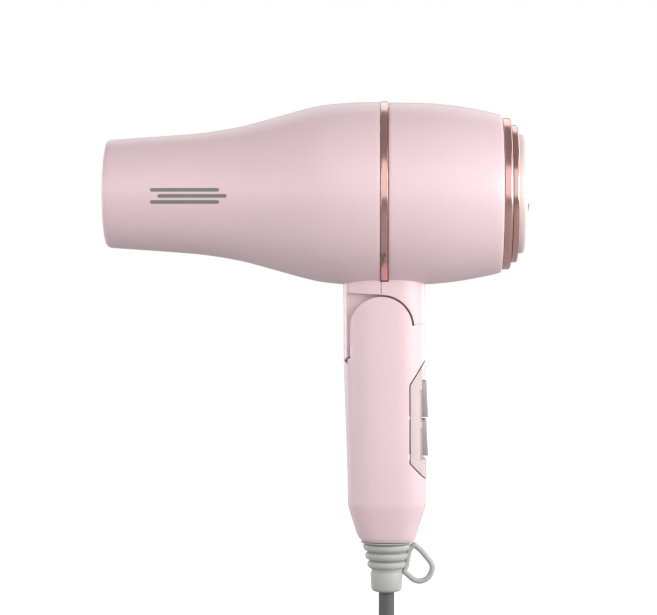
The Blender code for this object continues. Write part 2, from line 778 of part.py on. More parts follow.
def make_heater():
    ring("heater_sleeve", *HEATER_X, *HEATER_R, FINISHES["mica"], steps=24)
    low, high = HEATER_X[0] + 0.004, HEATER_X[1] - 0.001
    middle = (low + high) / 2
    slot = BOARD_HALF_THICKNESS + GAP
    flat = box(
        "mica_board_flat",
        (low, -BOARD_HALF, BARREL_Z - BOARD_HALF_THICKNESS),
        (high, BOARD_HALF, BARREL_Z + BOARD_HALF_THICKNESS),
        FINISHES["mica"],
    )
    cut(flat, box("cut_flat_slot", (middle - GAP, -slot, 0.10), (high + 0.01, slot, 0.12)))
    upright = box(
        "mica_board_upright",
        (low, -BOARD_HALF_THICKNESS, BARREL_Z - BOARD_HALF),
        (high, BOARD_HALF_THICKNESS, BARREL_Z + BOARD_HALF),
        FINISHES["mica"],
    )
    slot_low = (low - 0.01, -0.01, BARREL_Z - slot)
    slot_high = (middle + GAP, 0.01, BARREL_Z + slot)
    cut(upright, box("cut_upright_slot", slot_low, slot_high))
    make_element(low + ELEMENT_INSET, high - ELEMENT_INSET)
    box("thermostat", *THERMOSTAT, FINISHES["brass"], bevel=0.0006)
    rod("thermal_fuse", *FUSE_ENDS, FUSE_R, FINISHES["black"], sides=12)


def make_element(start, end):
    """The heating wire, wound round the crossed boards."""
    steps = 12 * ELEMENT_TURNS
    points = []
    for k in range(steps + 1):
        angle = 2 * math.pi * ELEMENT_TURNS * k / steps
        x = start + (end - start) * k / steps
        points.append((x, ELEMENT_R * math.cos(angle), BARREL_Z + ELEMENT_R * math.sin(angle)))
    tube("heating_coil", points, ELEMENT_WIRE, FINISHES["steel"], resolution=1)


def make_motor():
    front, rear = MOTOR_X
    inside = MOTOR_R - MOTOR_WALL
    can = (
        (front, inside),
        (front, MOTOR_R),
        (rear, MOTOR_R),
        (rear, 0.0025),
        (rear - MOTOR_WALL, 0.0025),
        (rear - MOTOR_WALL, inside),
    )
    turned("motor_can", can, FINISHES["steel"], steps=24)
    cap = ((front - 0.0030, 0.0016), (front - 0.0030, 0.0120), (front - GAP, 0.0136), (front - GAP, 0.0016))
    turned("motor_end_cap", cap, FINISHES["black"], steps=24)
    ring("motor_magnets", front + 0.0040, rear - 0.0040, 0.0094, 0.0125, FINISHES["dark_steel"], steps=24)
    ring("motor_rotor", front + 0.0060, rear - 0.0060, 0.0015, 0.0086, FINISHES["copper"], steps=20)
    shaft_ends = (front - 0.0060, 0, BARREL_Z), (FAN_X[1] + 0.0005, 0, BARREL_Z)
    rod("motor_shaft", *shaft_ends, SHAFT_R, FINISHES["steel"], sides=12)


def make_duct():
    """The funnel round the fan and motor, with the vanes that hold the motor's cup."""
    inner, outer = DUCT_R
    wall = outer - inner
    throat_x, throat_r = DUCT_THROAT
    funnel = [(DUCT_X[1], outer), (DUCT_X[0], outer), (throat_x, throat_r), (throat_x, throat_r - wall)]
    funnel += [(DUCT_X[0], inner), (DUCT_X[1], inner)]
    duct = turned("fan_duct", funnel, FINISHES["white"], steps=24)
    join(duct, ring("duct_cup", *CUP_X, MOTOR_R + GAP, MOTOR_R + CUP_WALL, steps=24))
    for k in range(VANES):
        low = (CUP_X[0] + 0.0010, MOTOR_R + 0.0008, -0.0006)
        high = (CUP_X[1] - 0.0010, inner + 0.0006, 0.0006)
        vane = box(f"duct_vane_{k}", low, high)
        vane.location = (0, 0, BARREL_Z)
        vane.rotation_euler = (2 * math.pi * (k + 0.25) / VANES, 0, 0)
        join(duct, vane)


def make_fan():
    low, high = FAN_X
    hub = ((low, 0.0015), (low, HUB_R), (high - 0.0035, HUB_R), (high, 0.0070), (high, 0.0015))
    fan = turned("fan_impeller", hub, FINISHES["black"], steps=24)
    centre = Matrix.Translation(((low + high) / 2, 0, BARREL_Z))
    pitch = Matrix.Rotation(BLADE_PITCH, 4, "Y")
    chord, thickness = BLADE_HALF
    for k in range(FAN_BLADES):
        blade = box(f"fan_blade_{k}", (-chord, HUB_R - 0.0010, -thickness), (chord, FAN_R, thickness))
        blade.matrix_world = centre @ Matrix.Rotation(2 * math.pi * k / FAN_BLADES, 4, "X") @ pitch
        join(fan, blade)


def make_intake():
    carrier = turned("intake_carrier", CARRIER_OUTLINE, FINISHES["black"], steps=24)
    boss = rod("carrier_boss", (0.0560, 0, BARREL_Z), (0.0612, 0, BARREL_Z), 0.0050)
    for k in range(4):
        spoke = box(f"carrier_spoke_{k}", (0.0564, 0.0035, -0.0009), (0.0610, 0.0298, 0.0009))
        spoke.location = (0, 0, BARREL_Z)
        spoke.rotation_euler = (math.pi * (2 * k + 1) / 4, 0, 0)
        join(carrier, spoke)
    join(carrier, boss)
    filter_ends = [(x, 0, BARREL_Z) for x in FILTER_X]
    rod("lint_filter", *filter_ends, FILTER_R, FINISHES["filter"], sides=32)
    turned("intake_ring_outer", RING_OUTER, FINISHES["rose_gold"])
    turned("intake_ring_middle", RING_MIDDLE, FINISHES["rose_gold"])
    cover = turned("intake_dome", DOME, FINISHES["pale_metal"])
    near, far = INTAKE_SLOT_R
    for k in range(INTAKE_SLOTS):
        low, high = (0.0600, near, -INTAKE_SLOT_HALF), (0.0700, far, INTAKE_SLOT_HALF)
        slot = box(f"cut_intake_slot_{k}", low, high)
        slot.location = (0, 0, BARREL_Z)
        slot.rotation_euler = (2 * math.pi * (k + 0.5) / INTAKE_SLOTS, 0, 0)
        cut(cover, slot)
    turned("intake_cap", CAP, FINISHES["pale_metal"], steps=24)


def make_leads():
    """The supply leads: one up the handle to the hollow hinge, one from the hinge to the heater."""
    for name, route, count in (("handle_lead", HANDLE_LEAD, 10), ("barrel_lead", BARREL_LEAD, 18)):
        points = smooth_route([(x, 0, z) for x, z in route], count)
        tube(name, points, LEAD_R, FINISHES["lead"], resolution=2)


def coil_centre():
    """The coil lies so that the lead-in runs into its outer turn without a kink."""
    forward = Vector((math.cos(HEADING), math.sin(HEADING), 0))
    leftward = Vector((-forward.y, forward.x, 0))
    return Vector((GUARD_X, 0, 0)) + LEAD_BEND * forward + (COIL_RADII[1] + GAP) * leftward


def make_cord():
    """The free cord goes straight down, takes one wide bend and meets the coil at a tangent."""
    centre = coil_centre()
    bottom = FLOOR_Z + COIL_LIFT
    forward = Vector((math.cos(HEADING), math.sin(HEADING), 0))
    landing = bottom + 4 * CORD_R + GAP + CORD_R
    top_of_bend = Vector((GUARD_X, 0, landing + LEAD_BEND))
    route = [Vector((GUARD_X, 0, z)) for z in np.linspace(CORD_TOP, top_of_bend.z, 8, endpoint=False)]
    for angle in np.linspace(0, math.pi / 2, 9):
        turn = (1 - math.cos(angle)) * forward - math.sin(angle) * Z_AXIS
        route.append(top_of_bend + LEAD_BEND * turn)
    tube("power_cord", smooth_route(route, 30), CORD_R, FINISHES["cord"], resolution=2)
    inner, outer = COIL_RADII[0] - CORD_R, COIL_RADII[1] + CORD_R
    top = bottom + 4 * CORD_R
    soft = 0.0020
    coil = (
        (bottom, inner + soft),
        (bottom, outer - soft),
        (bottom + soft, outer),
        (top - soft, outer),
        (top, outer - soft),
        (top, inner + soft),
        (top - soft, inner),
        (bottom + soft, inner),
    )
    turned("cord_coil", coil, FINISHES["cord"], steps=24, centre=(centre.x, centre.y, 0), upright=True)
    return centre


def make_tie(centre):
    """A strap round the bundle of turns, on the side away from the lead-in."""
    bottom = FLOOR_Z + COIL_LIFT
    # The turns curve inside the strap's width, so the inner side stands off a little more.
    inner, outer = COIL_RADII[0] - CORD_R - 4 * GAP, COIL_RADII[1] + CORD_R + GAP
    top = bottom + 4 * CORD_R + GAP
    wall = 0.0008
    y = centre.y
    far = centre.x - TIE_HALF
    near = centre.x + TIE_HALF
    low = (far, y + inner - wall, bottom - GAP - wall)
    high = (near, y + outer + wall, top + wall)
    strap = box("coil_tie", low, high, FINISHES["black"])
    cut(strap, box("cut_tie", (far - 0.01, y + inner, bottom - GAP), (near + 0.01, y + outer, top)))


def make_plug(centre):
    """The tail leaves the coil's outer turn and ends in a flat two-pin plug lying beside it."""
    y = centre.y - COIL_RADII[1] - 2 * CORD_R - GAP
    z = FLOOR_Z + PLUG_SIZE[2] / 2
    start = Vector((centre.x, y, FLOOR_Z + CORD_R))
    tail_end = start.x + TAIL_LENGTH
    route = [start, start + Vector((0.010, 0, 0)), Vector((start.x + 0.026, y, z - 0.0024))]
    route += [Vector((tail_end - 0.008, y, z)), Vector((tail_end, y, z))]
    tube("cord_tail", smooth_route(route, 14), CORD_R, FINISHES["cord"], resolution=2)
    low = Vector((tail_end + 2 * GAP, y - PLUG_SIZE[1] / 2, FLOOR_Z))
    high = low + Vector(PLUG_SIZE)
    box("plug_body", low, high, FINISHES["black"], bevel=0.0030)
    for side, sign in SIDES:
        middle = y + sign * PIN_SPACING / 2
        box(
            f"plug_pin_{side}",
            (high.x + GAP, middle - 0.0008, z - 0.0032),
            (high.x + PIN_LENGTH, middle + 0.0008, z + 0.0032),
            FINISHES["brass"],
        )


def build():
    make_housings()
    ring("trim_ring", *TRIM_X, *TRIM_R, FINISHES["rose_gold"])
    make_outlet()
    make_heater()
    make_duct()
    make_motor()
    make_fan()
    make_intake()
    make_handle()
    make_handle_screws()
    make_hinge_sleeve()
    make_switch_panel()
    make_switches()
    make_guard()
    make_cord_clamp()
    make_leads()
    centre = make_cord()
    make_tie(centre)
    make_plug(centre)


clear_scene()
PARTS = collection("hair_dryer", hidden=False)
CUTTERS = collection("cutters", hidden=True)
FINISHES = {
    "pink": finish("satin_pink", PINK, 0.42),
    "rose_gold": finish("rose_gold", ROSE_GOLD, 0.25, 1.0),
    "pale_metal": finish("pale_metal", PALE_METAL, 0.30, 0.6),
    "panel": finish("pale_panel", PALE_PANEL, 0.40),
    "rocker": finish("rocker_grey", GREY_PLASTIC, 0.45),
    "soft_grey": finish("soft_grey", SOFT_GREY, 0.55),
    "cord": finish("cord_grey", CORD_GREY, 0.50),
    "black": finish("black_plastic", BLACK_PLASTIC, 0.50),
    "white": finish("white_plastic", WHITE_PLASTIC, 0.50),
    "steel": finish("steel", STEEL, 0.30, 1.0),
    "dark_steel": finish("dark_steel", DARK_STEEL, 0.50, 0.5),
    "mica": finish("mica", MICA, 0.60),
    "brass": finish("brass", BRASS, 0.30, 1.0),
    "board": finish("board_green", BOARD_GREEN, 0.45),
    "copper": finish("copper", COPPER, 0.35, 1.0),
    "filter": finish("filter_mesh", MESH_BLACK, 0.70),
    "lead": finish("lead_insulation", INSULATION, 0.60),
}
build()
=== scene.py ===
"""The looks of a folding hair dryer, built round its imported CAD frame.

Frame: +Z up, nozzle towards -X, air intake towards +X, origin in the middle of the hand grip, metres.
"""

import json
import math

import bmesh
import bpy
import numpy as np
from mathutils import Matrix, Vector


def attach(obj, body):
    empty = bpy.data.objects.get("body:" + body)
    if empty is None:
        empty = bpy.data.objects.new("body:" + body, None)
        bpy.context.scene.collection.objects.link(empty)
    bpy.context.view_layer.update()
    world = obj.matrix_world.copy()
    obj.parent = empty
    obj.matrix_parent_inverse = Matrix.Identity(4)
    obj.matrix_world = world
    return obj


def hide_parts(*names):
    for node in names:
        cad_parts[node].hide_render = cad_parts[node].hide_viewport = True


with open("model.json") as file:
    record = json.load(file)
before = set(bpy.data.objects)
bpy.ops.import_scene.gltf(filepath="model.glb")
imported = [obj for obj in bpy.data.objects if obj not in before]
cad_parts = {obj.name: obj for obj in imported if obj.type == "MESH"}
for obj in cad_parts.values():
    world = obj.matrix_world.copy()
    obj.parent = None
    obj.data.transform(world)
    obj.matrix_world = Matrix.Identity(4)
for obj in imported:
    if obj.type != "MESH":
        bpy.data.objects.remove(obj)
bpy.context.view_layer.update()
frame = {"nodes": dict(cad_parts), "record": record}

GAP = 0.0003
TURN_STEPS = 144
SMOOTH_BELOW = math.radians(32)
SIDES = (("left", -1), ("right", 1))
WIDE = 0.0250

# Barrel
BARREL_Z = 0.112
MOUTH_X = -0.1318
SPLIT_X = -0.0022
SEAM_X = -0.0019
REAR_X = 0.0548
SHELL = 0.0021
TRIM_X = (-0.0020, 0.0012)
TRIM_R = (0.0411, 0.04365)
FRONT_RIM = ((MOUTH_X, 0.02395), (-0.13165, 0.0244), (-0.13105, 0.0250), (-0.1300, 0.02545))
FRONT_RUN = (
    (-0.1283, 0.0257),
    (-0.0983, 0.0278),
    (-0.0850, 0.0290),
    (-0.0682, 0.0318),
    (-0.0523, 0.0360),
    (-0.0404, 0.0393),
    (-0.0304, 0.0416),
    (-0.0160, 0.0430),
    (-0.0026, 0.0433),
)
FRONT_LAST = ((SPLIT_X - 0.0001, 0.04315), (SPLIT_X, 0.0429), (SPLIT_X, 0.0412))
MOUTH_INSIDE = ((-0.1309, 0.0233), (-0.1315, 0.0229), (MOUTH_X, 0.0232))
REAR_FIRST = ((0.0015, 0.0409), (0.0015, 0.0426), (0.0016, 0.04285))
REAR_RUN = (
    (0.0019, 0.0430),
    (0.0130, 0.0429),
    (0.0247, 0.0424),
    (0.0375, 0.0408),
    (0.0508, 0.0382),
    (0.0536, 0.03745),
)
REAR_LAST = ((0.0543, 0.0372), (0.0547, 0.0368), (REAR_X, 0.0362), (REAR_X, 0.0345))
SPIGOT_OUTLINE = (
    (-0.0070, 0.0384),
    (-0.0070, 0.0422),
    (-0.0030, 0.0422),
    (-0.0030, 0.0405),
    (0.0042, 0.0405),
    (0.0042, 0.0384),
)

# Air outlet and heater
GRILLE_X = (-0.1180, -0.1140)
GRILLE_OUTLINE = (
    (-0.1180, 0.0226),
    (-0.1177, 0.0222),
    (-0.1143, 0.0222),
    (-0.1140, 0.0226),
    (-0.1140, 0.0239),
    (-0.1180, 0.0239),
)
HEATER_X = (-0.1040, -0.0340)
HEATER_R = (0.0232, 0.0240)
ELEMENT_X = (-0.0940, -0.0410)
ELEMENT_R = 0.0213
ELEMENT_TURNS = 6
ELEMENT_WIRE_R = 0.0008

# The mark printed on the nozzle: each bar's ends and its height above the axis
PRINT_BARS = (
    (-0.1090, -0.0765, 0.0016),
    (-0.1055, -0.0730, -0.0012),
    (-0.1090, -0.0765, -0.0040),
)
PRINT_HALF = 0.00085
PRINT_LIFT = 0.00004

# Air intake
CARRIER_OUTLINE = (
    (0.0450, 0.0324),
    (0.0450, 0.0339),
    (0.0588, 0.0339),
    (0.0588, 0.0303),
    (0.0618, 0.0303),
    (0.0618, 0.0290),
    (0.0572, 0.0290),
    (0.0572, 0.0324),
)
SPOKES = 4
# Each plated ring from its front to its rear end, and from its bore to its outside
INTAKE_RINGS = (
    ("outer", 0.0551, 0.0588, 0.0342, 0.0357),
    ("middle", 0.0591, 0.0621, 0.0306, 0.0324),
)
DOME_RIM = ((0.0645, 0.0280), (0.0653, 0.0274), (0.0658, 0.0262), (0.0660, 0.0248))
INTAKE_SLOTS = 16
INTAKE_SLOT_R = (0.0135, 0.0245)
INTAKE_SLOT_HALF = 0.0008
CAP_PROFILE = ((0.0663, 0.0102), (0.0669, 0.0100), (0.0674, 0.0090), (0.0678, 0.0060), (0.0680, 0.0))
CAP_GRIP_X = (0.0666, 0.0674)
CAP_GRIP_Y = (0.0045, 0.0120)
CAP_GRIP_OFF = 0.0072
CAP_GRIP_HALF = 0.0024

# Hinge
PIVOT = (-0.0018, 0.0492)
DOME_R = 0.01455
ARC_GAP = 0.0009
NECK_GAP = 0.0004
LIP_X = (SEAM_X - 0.0009, SEAM_X + 0.0012)
LIP_Y = (0.0060, 0.0085)
LIP_Z = (0.0648, 0.0676)
TONGUE_Y = 0.0095
CHEEK_Y = 0.0098
LEG_Y = 0.0092
LEG_SWEEP_R = 0.0234
SHOULDER_DEG = 3.9
SHOULDER_GAP = 0.00012
SHOULDER_END_Z = 0.0522
NOTCH_Z = (0.0305, 0.0349)
LEG_INNER_X = -0.0168
LEG_OUTLINE = (
    (-WIDE, 0.0306),
    (LEG_INNER_X, 0.0354),
    (LEG_INNER_X, 0.0400),
    (-0.0130, 0.0440),
    (-0.0100, 0.0600),
    (-0.0100, 0.0690),
    (-WIDE, 0.0690),
)
NECK_TOP = (
    (-WIDE, 0.0650),
    (LEG_INNER_X, 0.0654),
    (SEAM_X, 0.0647),
    (SEAM_X, 0.0800),
    (-WIDE, 0.0800),
)
TONGUE_TOP = ((0.0142, 0.0500), (0.0142, 0.0720), (-0.0161, 0.0720))
LEG_FOOT_TOP = ((LEG_INNER_X, 0.0380), (-0.0187, 0.0380))
LEG_FOOT_Y = 0.0040
PASSAGE_R = 0.0300
PASSAGE_Y = 0.0032
SLIT_Y = 0.0016
CHANNEL_X = (-0.0150, 0.0050)
CHANNEL_Y = 0.0050
CHANNEL_Z = 0.0525
SLEEVE_R = (0.0032, 0.0050)

# Handle
STATIONS = (
    (-0.0526, -0.0106, 0.0138, 0.0104),
    (-0.0520, -0.0113, 0.0143, 0.0109),
    (-0.0506, -0.0127, 0.0148, 0.0117),
    (-0.0490, -0.0135, 0.0152, 0.0122),
    (-0.0375, -0.0171, 0.0188, 0.0148),
    (-0.0350, -0.0177, 0.0195, 0.0152),
    (-0.0200, -0.0178, 0.0198, 0.0154),
    (0.0333, -0.0196, 0.0191, 0.0155),
    (0.0900, -0.0199, 0.0187, 0.0155),
)
ROUNDNESS = 2.8
SECTION_POINTS = 96
WALL = 0.0022
HANDLE_BOTTOM = -0.0526
EASED_ABOVE = -0.0505
CAVITY_Z = (-0.0504, 0.0330)

# Switch panel
PANEL_OUTLINE = ((0.0262, 0.0458), (0.0114, 0.0222), (0.0115, -0.0148), (0.0262, -0.0305))
PANEL_DIP = ((0.0260, 0.0338), (0.0174, 0.0248), (0.0177, -0.0128), (0.0260, -0.0182))
FINGER_NOTCHES = ((0.0049, 0.0199), (-0.0131, 0.0020))
NOTCH_X = (0.0165, 0.0190)
NOTCH_Y = 0.0072
PANEL_GAP = 0.0005
BAY_GAP = 0.0005
PANEL_THICKNESS = 0.0040
BAY_Y = 0.0064
ROCKER_Y = 0.0060
ROCKER_LENGTH = 0.0170
ROCKERS = (("speed", 0.0152), ("heat", -0.0031))
ROCKER_X = 0.0168
ROCKER_FACE = 0.0199
ROCKER_BACK = 0.0020
ROCKER_CHAMFER = 0.0035
ROCKER_LIP = 0.0006
GRIP_Y = 0.0044

# Cord guard
GUARD_X = 0.0008
GUARD_TOP = -0.0529
GUARD_BOTTOM = -0.0767
FLANGE_R = 0.0122
RIDGES = ((-0.0556, 0.0112), (-0.0598, 0.0102), (-0.0639, 0.0092))
RIDGE_DEPTH = 0.0016
# One ridge from top to bottom: height about its middle, and how far its surface lies inside its crown.
RIDGE_CROWN = (
    (0.0017, 0.0016),
    (0.0016, 0.0009),
    (0.0014, 0.0004),
    (0.0010, 0.0001),
    (0.0005, 0.0),
    (-0.0003, 0.0001),
    (-0.0010, 0.0004),
    (-0.0014, 0.0008),
    (-0.0017, 0.0016),
)
COLLAR = ((-0.0676, 0.0077), (-0.0752, 0.0073))
LOOP_R = 0.00135
LOOP_ROUTE = (
    (0.0140, -0.0545),
    (0.0171, -0.0572),
    (0.0197, -0.0602),
    (0.0219, -0.0631),
    (0.0226, -0.0652),
    (0.0221, -0.0676),
    (0.0204, -0.0703),
    (0.0185, -0.0715),
    (0.0159, -0.0719),
    (0.0135, -0.0710),
    (0.0113, -0.0691),
    (0.0094, -0.0672),
    (0.0101, -0.0648),
    (0.0109, -0.0609),
    (0.0120, -0.0566),
)

# Cord
CORD_R = 0.00375
FLOOR_Z = -0.1500
COIL_LIFT = 0.0011
COIL_RADII = (0.0375, 0.0525)
CORD_TOP = -0.0550
LEAD_BEND = 0.0320
HEADING = math.radians(124.3)
# The coil ends where the cord runs straight along +X to the plug
END_TURNS = 5 + ((3 * math.pi / 2 - (HEADING - math.pi / 2)) / (2 * math.pi)) % 1.0
TAIL_LENGTH = 0.050
TIE_HALF = 0.0070
TIE_WALL = 0.0008
TIE_POINTS = 80
PLUG_HEIGHT = 0.018
# The plug's body from the cord end: distance, half width and half height
PLUG_SECTIONS = (
    (0.0000, 0.0052, 0.0048),
    (0.0012, 0.0060, 0.0056),
    (0.0060, 0.0066, 0.0062),
    (0.0100, 0.0090, 0.0076),
    (0.0135, 0.0115, 0.0086),
    (0.0180, 0.0119, 0.0088),
    (0.0260, 0.0122, 0.0089),
    (0.0325, 0.0123, 0.0089),
    (0.0337, 0.0119, 0.0085),
    (0.0340, 0.0112, 0.0078),
)
PLUG_POINTS = 48
PLUG_GRIPS = 4
PIN_SPACING = 0.0127
PIN_LENGTH = 0.0180
PIN_HALF = (0.0008, 0.0032)

# Camera
CAMERA_AT = (-0.0005, -1.16, 0.0998)
CAMERA_AIM = (-0.0268, 0.0, 0.0582)
CAMERA_LENS = 134.2

# Light: each softbox's place, size and power. The strongest stand to the right, so tones rise that way.
LIGHTS = (
    ("right", (1.4, -0.3, 0.25), (0.9, 0.9), 8.2),
    ("top_right", (1.1, -0.6, 0.9), (0.8, 0.8), 3.6),
    ("near_right", (0.55, -0.5, 0.22), (0.4, 0.4), 3.7),
    ("near_left", (-0.55, -0.5, 0.22), (0.4, 0.4), 0.7),
    ("front_left", (-0.9, -1.2, 0.25), (0.9, 0.9), 1.3),
    ("left", (-1.4, -0.3, 0.25), (0.9, 0.9), 8.0),
    ("back_right", (1.0, 1.0, 0.3), (0.8, 0.8), 7.0),
    ("back_left", (-1.0, 1.0, 0.3), (0.8, 0.8), 5.8),
    ("back_top", (0, 1.0, 0.9), (1.2, 0.8), 3.6),
)
# A tall panel that only the gloss sees, which gives the plated rings their bright middle band
FRONT_PANEL = ("front_panel", (0, -1.9, 0.72), (1.6, 1.75), 8.4)
LIGHT_AIM = (0, 0, 0.08)
STAGE_R = 6.0
CAMERA_GLOW = 1.0
FLOOR_GLOW = 0.13
SKY = 0.30

WORK = bpy.data.collections.new("work")
bpy.context.scene.collection.children.link(WORK)


# --- shape helpers ---


def smooth_route(points, count):
    """Evenly spaced points on a smooth curve through the given ones (a centripetal Catmull-Rom spline)."""
    line = [Vector(p) for p in points]
    line = [2 * line[0] - line[1], *line, 2 * line[-1] - line[-2]]
    dense = []
    for a, b, c, d in zip(line, line[1:], line[2:], line[3:]):
        knots = [0.0]
        for p, q in ((a, b), (b, c), (c, d)):
            knots.append(knots[-1] + math.sqrt((q - p).length))
        t0, t1, t2, t3 = knots
        for t in np.linspace(t1, t2, 12, endpoint=False):
            ab = a.lerp(b, (t - t0) / (t1 - t0))
            bc = b.lerp(c, (t - t1) / (t2 - t1))
            cd = c.lerp(d, (t - t2) / (t3 - t2))
            left = ab.lerp(bc, (t - t0) / (t2 - t0))
            right = bc.lerp(cd, (t - t1) / (t3 - t1))
            dense.append(left.lerp(right, (t - t1) / (t2 - t1)))
    dense.append(line[-2])
    run = np.concatenate([[0.0], np.cumsum([(q - p).length for p, q in zip(dense, dense[1:])])])
    stops = np.linspace(0, run[-1], count)
    coords = np.array([tuple(p) for p in dense])
    return [Vector(np.interp(s, run, coords[:, k]) for k in range(3)) for s in stops]


def smooth_profile(points, count):
    """A smooth (x, r) line through the given points."""
    return [(p.x, p.y) for p in smooth_route([(x, r, 0) for x, r in points], count)]


def new_object(name, data):
    made = bpy.data.objects.new(name, data)
    WORK.objects.link(made)
    return made


def shade(mesh):
    mesh.shade_smooth()
    mesh.set_sharp_from_angle(angle=SMOOTH_BELOW)


def from_bmesh(name, bm):
    mesh = bpy.data.meshes.new(name)
    bmesh.ops.recalc_face_normals(bm, faces=bm.faces)
    bm.to_mesh(mesh)
    bm.free()
    shade(mesh)
    return new_object(name, mesh)


def baked(made):
    """The object with its modifiers made real and its own place kept in its mesh."""
    bpy.context.view_layer.update()
    graph = bpy.context.evaluated_depsgraph_get()
    mesh = bpy.data.meshes.new_from_object(made.evaluated_get(graph), depsgraph=graph)
    mesh.transform(made.matrix_world)
    name = made.name
    bpy.data.objects.remove(made)
    bm = bmesh.new()
    bm.from_mesh(mesh)
    bmesh.ops.remove_doubles(bm, verts=bm.verts, dist=0.000002)
    bm.to_mesh(mesh)
    bm.free()
    mesh.materials.clear()
    shade(mesh)
    return new_object(name, mesh)


def boolean(target, operation, *others):
    for other in others:
        modifier = target.modifiers.new(other.name, "BOOLEAN")
        modifier.operation = operation
        modifier.object = other
    made = baked(target)
    for other in others:
        bpy.data.objects.remove(other)
    return made


def cut(target, *others):
    return boolean(target, "DIFFERENCE", *others)


def join(target, *others):
    return boolean(target, "UNION", *others)


def keep(target, other):
    return boolean(target, "INTERSECT", other)


def copy_of(made, name):
    twin = made.copy()
    twin.data = made.data.copy()
    twin.name = name
    WORK.objects.link(twin)
    return twin


def rounded(made, width, segments=3, degrees=30):
    bevel = made.modifiers.new("edges", "BEVEL")
    bevel.width = width
    bevel.segments = segments
    bevel.limit_method = "ANGLE"
    bevel.angle_limit = math.radians(degrees)
    bevel.harden_normals = True
    return made


def walls(bm, near, far):
    """A band of faces between two closed loops of vertices that match point for point."""
    for k in range(len(near)):
        n = (k + 1) % len(near)
        bm.faces.new((near[k], near[n], far[n], far[k]))


def loft(bm, rows):
    """Walls from each loop of vertices to the next, and a cap at either end."""
    for near, far in zip(rows, rows[1:]):
        walls(bm, near, far)
    bm.faces.new(rows[0])
    bm.faces.new(rows[-1])


def squared(angle, half_a, half_b, power_a, power_b):
    """A point of an ellipse whose sides are flattened by the powers, under 1."""
    c, s = math.cos(angle), math.sin(angle)
    return half_a * math.copysign(abs(c) ** power_a, c), half_b * math.copysign(abs(s) ** power_b, s)


def box(name, low, high):
    low, high = Vector(low), Vector(high)
    bm = bmesh.new()
    bmesh.ops.create_cube(bm, size=1.0)
    bmesh.ops.scale(bm, vec=high - low, verts=bm.verts)
    bmesh.ops.translate(bm, vec=(low + high) / 2, verts=bm.verts)
    return from_bmesh(name, bm)


def rod(name, start, end, radius, sides=64):
    start, end = Vector(start), Vector(end)
    along = end - start
    bm = bmesh.new()
    bmesh.ops.create_cone(
        bm,
        cap_ends=True,
        segments=sides,
        radius1=radius,
        radius2=radius,
        depth=along.length,
        matrix=Matrix.Translation((start + end) / 2) @ along.to_track_quat("Z", "Y").to_matrix().to_4x4(),
    )
    return from_bmesh(name, bm)


def across(name, at, half, radius, sides=64):
    return rod(name, (at[0], -half, at[1]), (at[0], half, at[1]), radius, sides=sides)


def turned(name, outline, steps=TURN_STEPS, centre=(0, 0, BARREL_Z), upright=False):
    """A closed (height, radius) outline turned about an axis through centre, along X or upright along Z."""
    points = list(outline)
    area = sum(a[0] * b[1] - b[0] * a[1] for a, b in zip(points, points[1:] + points[:1]))
    if area < 0:
        points.reverse()
    bm = bmesh.new()
    rows = []
    for k in range(steps):
        angle = 2 * math.pi * k / steps
        c, s = math.cos(angle), math.sin(angle)
        row = []
        for height, radius in points:
            if radius < 1e-7 and rows:
                row.append(None)
                continue
            at = (radius * c, radius * s, height) if upright else (height, radius * c, radius * s)
            row.append(bm.verts.new(Vector(centre) + Vector(at)))
        rows.append(row)
    first = rows[0]
    for k in range(steps):
        near, far = rows[k], rows[(k + 1) % steps]
        for i in range(len(points)):
            j = (i + 1) % len(points)
            corners = [near[i] or first[i], near[j] or first[j], far[j] or first[j], far[i] or first[i]]
            unique = list(dict.fromkeys(corners))
            if len(unique) >= 3:
                bm.faces.new(unique)
    return from_bmesh(name, bm)


def ring(name, low_x, high_x, inner, outer, **options):
    return turned(name, ((low_x, inner), (low_x, outer), (high_x, outer), (high_x, inner)), **options)


def slab(name, outline, half):
    """A flat (x, z) outline given thickness across Y."""
    bm = bmesh.new()
    loft(bm, [[bm.verts.new((x, y, z)) for x, z in outline] for y in (-half, half)])
    return from_bmesh(name, bm)


def tube(name, points, radius, resolution=6, closed=False):
    data = bpy.data.curves.new(name, "CURVE")
    data.dimensions = "3D"
    data.bevel_depth = radius
    data.bevel_resolution = resolution
    data.use_fill_caps = True
    spline = data.splines.new("POLY")
    spline.points.add(len(points) - 1)
    for point, place_at in zip(spline.points, points):
        point.co = (*place_at, 1)
    spline.use_cyclic_u = closed
    spline.use_smooth = True
    return new_object(name, data)


def softened(z, values, reach=0.0012):
    """The value of a station column at height z, with its corners eased."""
    heights = [s[0] for s in STATIONS]
    spots = np.linspace(z - reach, z + reach, 9)
    return float(np.mean(np.interp(spots, heights, values)))


def handle_ring(z, inset):
    """The handle's rounded-square section at height z, made smaller all round by the inset."""
    heights, fronts, rears, depths = zip(*STATIONS)
    if z < EASED_ABOVE:
        front, rear, depth = (float(np.interp(z, heights, v)) for v in (fronts, rears, depths))
    else:
        front, rear, depth = softened(z, fronts), softened(z, rears), softened(z, depths)
    front, rear, depth = front + inset, rear - inset, depth - inset
    middle, half = (front + rear) / 2, (rear - front) / 2
    points = []
    for step in range(SECTION_POINTS):
        x, y = squared(2 * math.pi * step / SECTION_POINTS, half, depth, 2 / ROUNDNESS, 2 / ROUNDNESS)
        points.append((middle + x, y, z))
    return points


def handle_loft(name, low, high, inset):
    """The handle's form from one height to another. Every station between them keeps a section of its own."""
    steps = max(2, round((high - low) / 0.0012))
    heights = list(np.linspace(low, high, steps + 1))
    fixed = [s[0] for s in STATIONS if low + 0.0002 < s[0] < high - 0.0002]
    heights = sorted([h for h in heights if min((abs(h - f) for f in fixed), default=1) > 0.0004] + fixed)
    bm = bmesh.new()
    loft(bm, [[bm.verts.new(p) for p in handle_ring(z, inset)] for z in heights])
    return from_bmesh(name, bm)


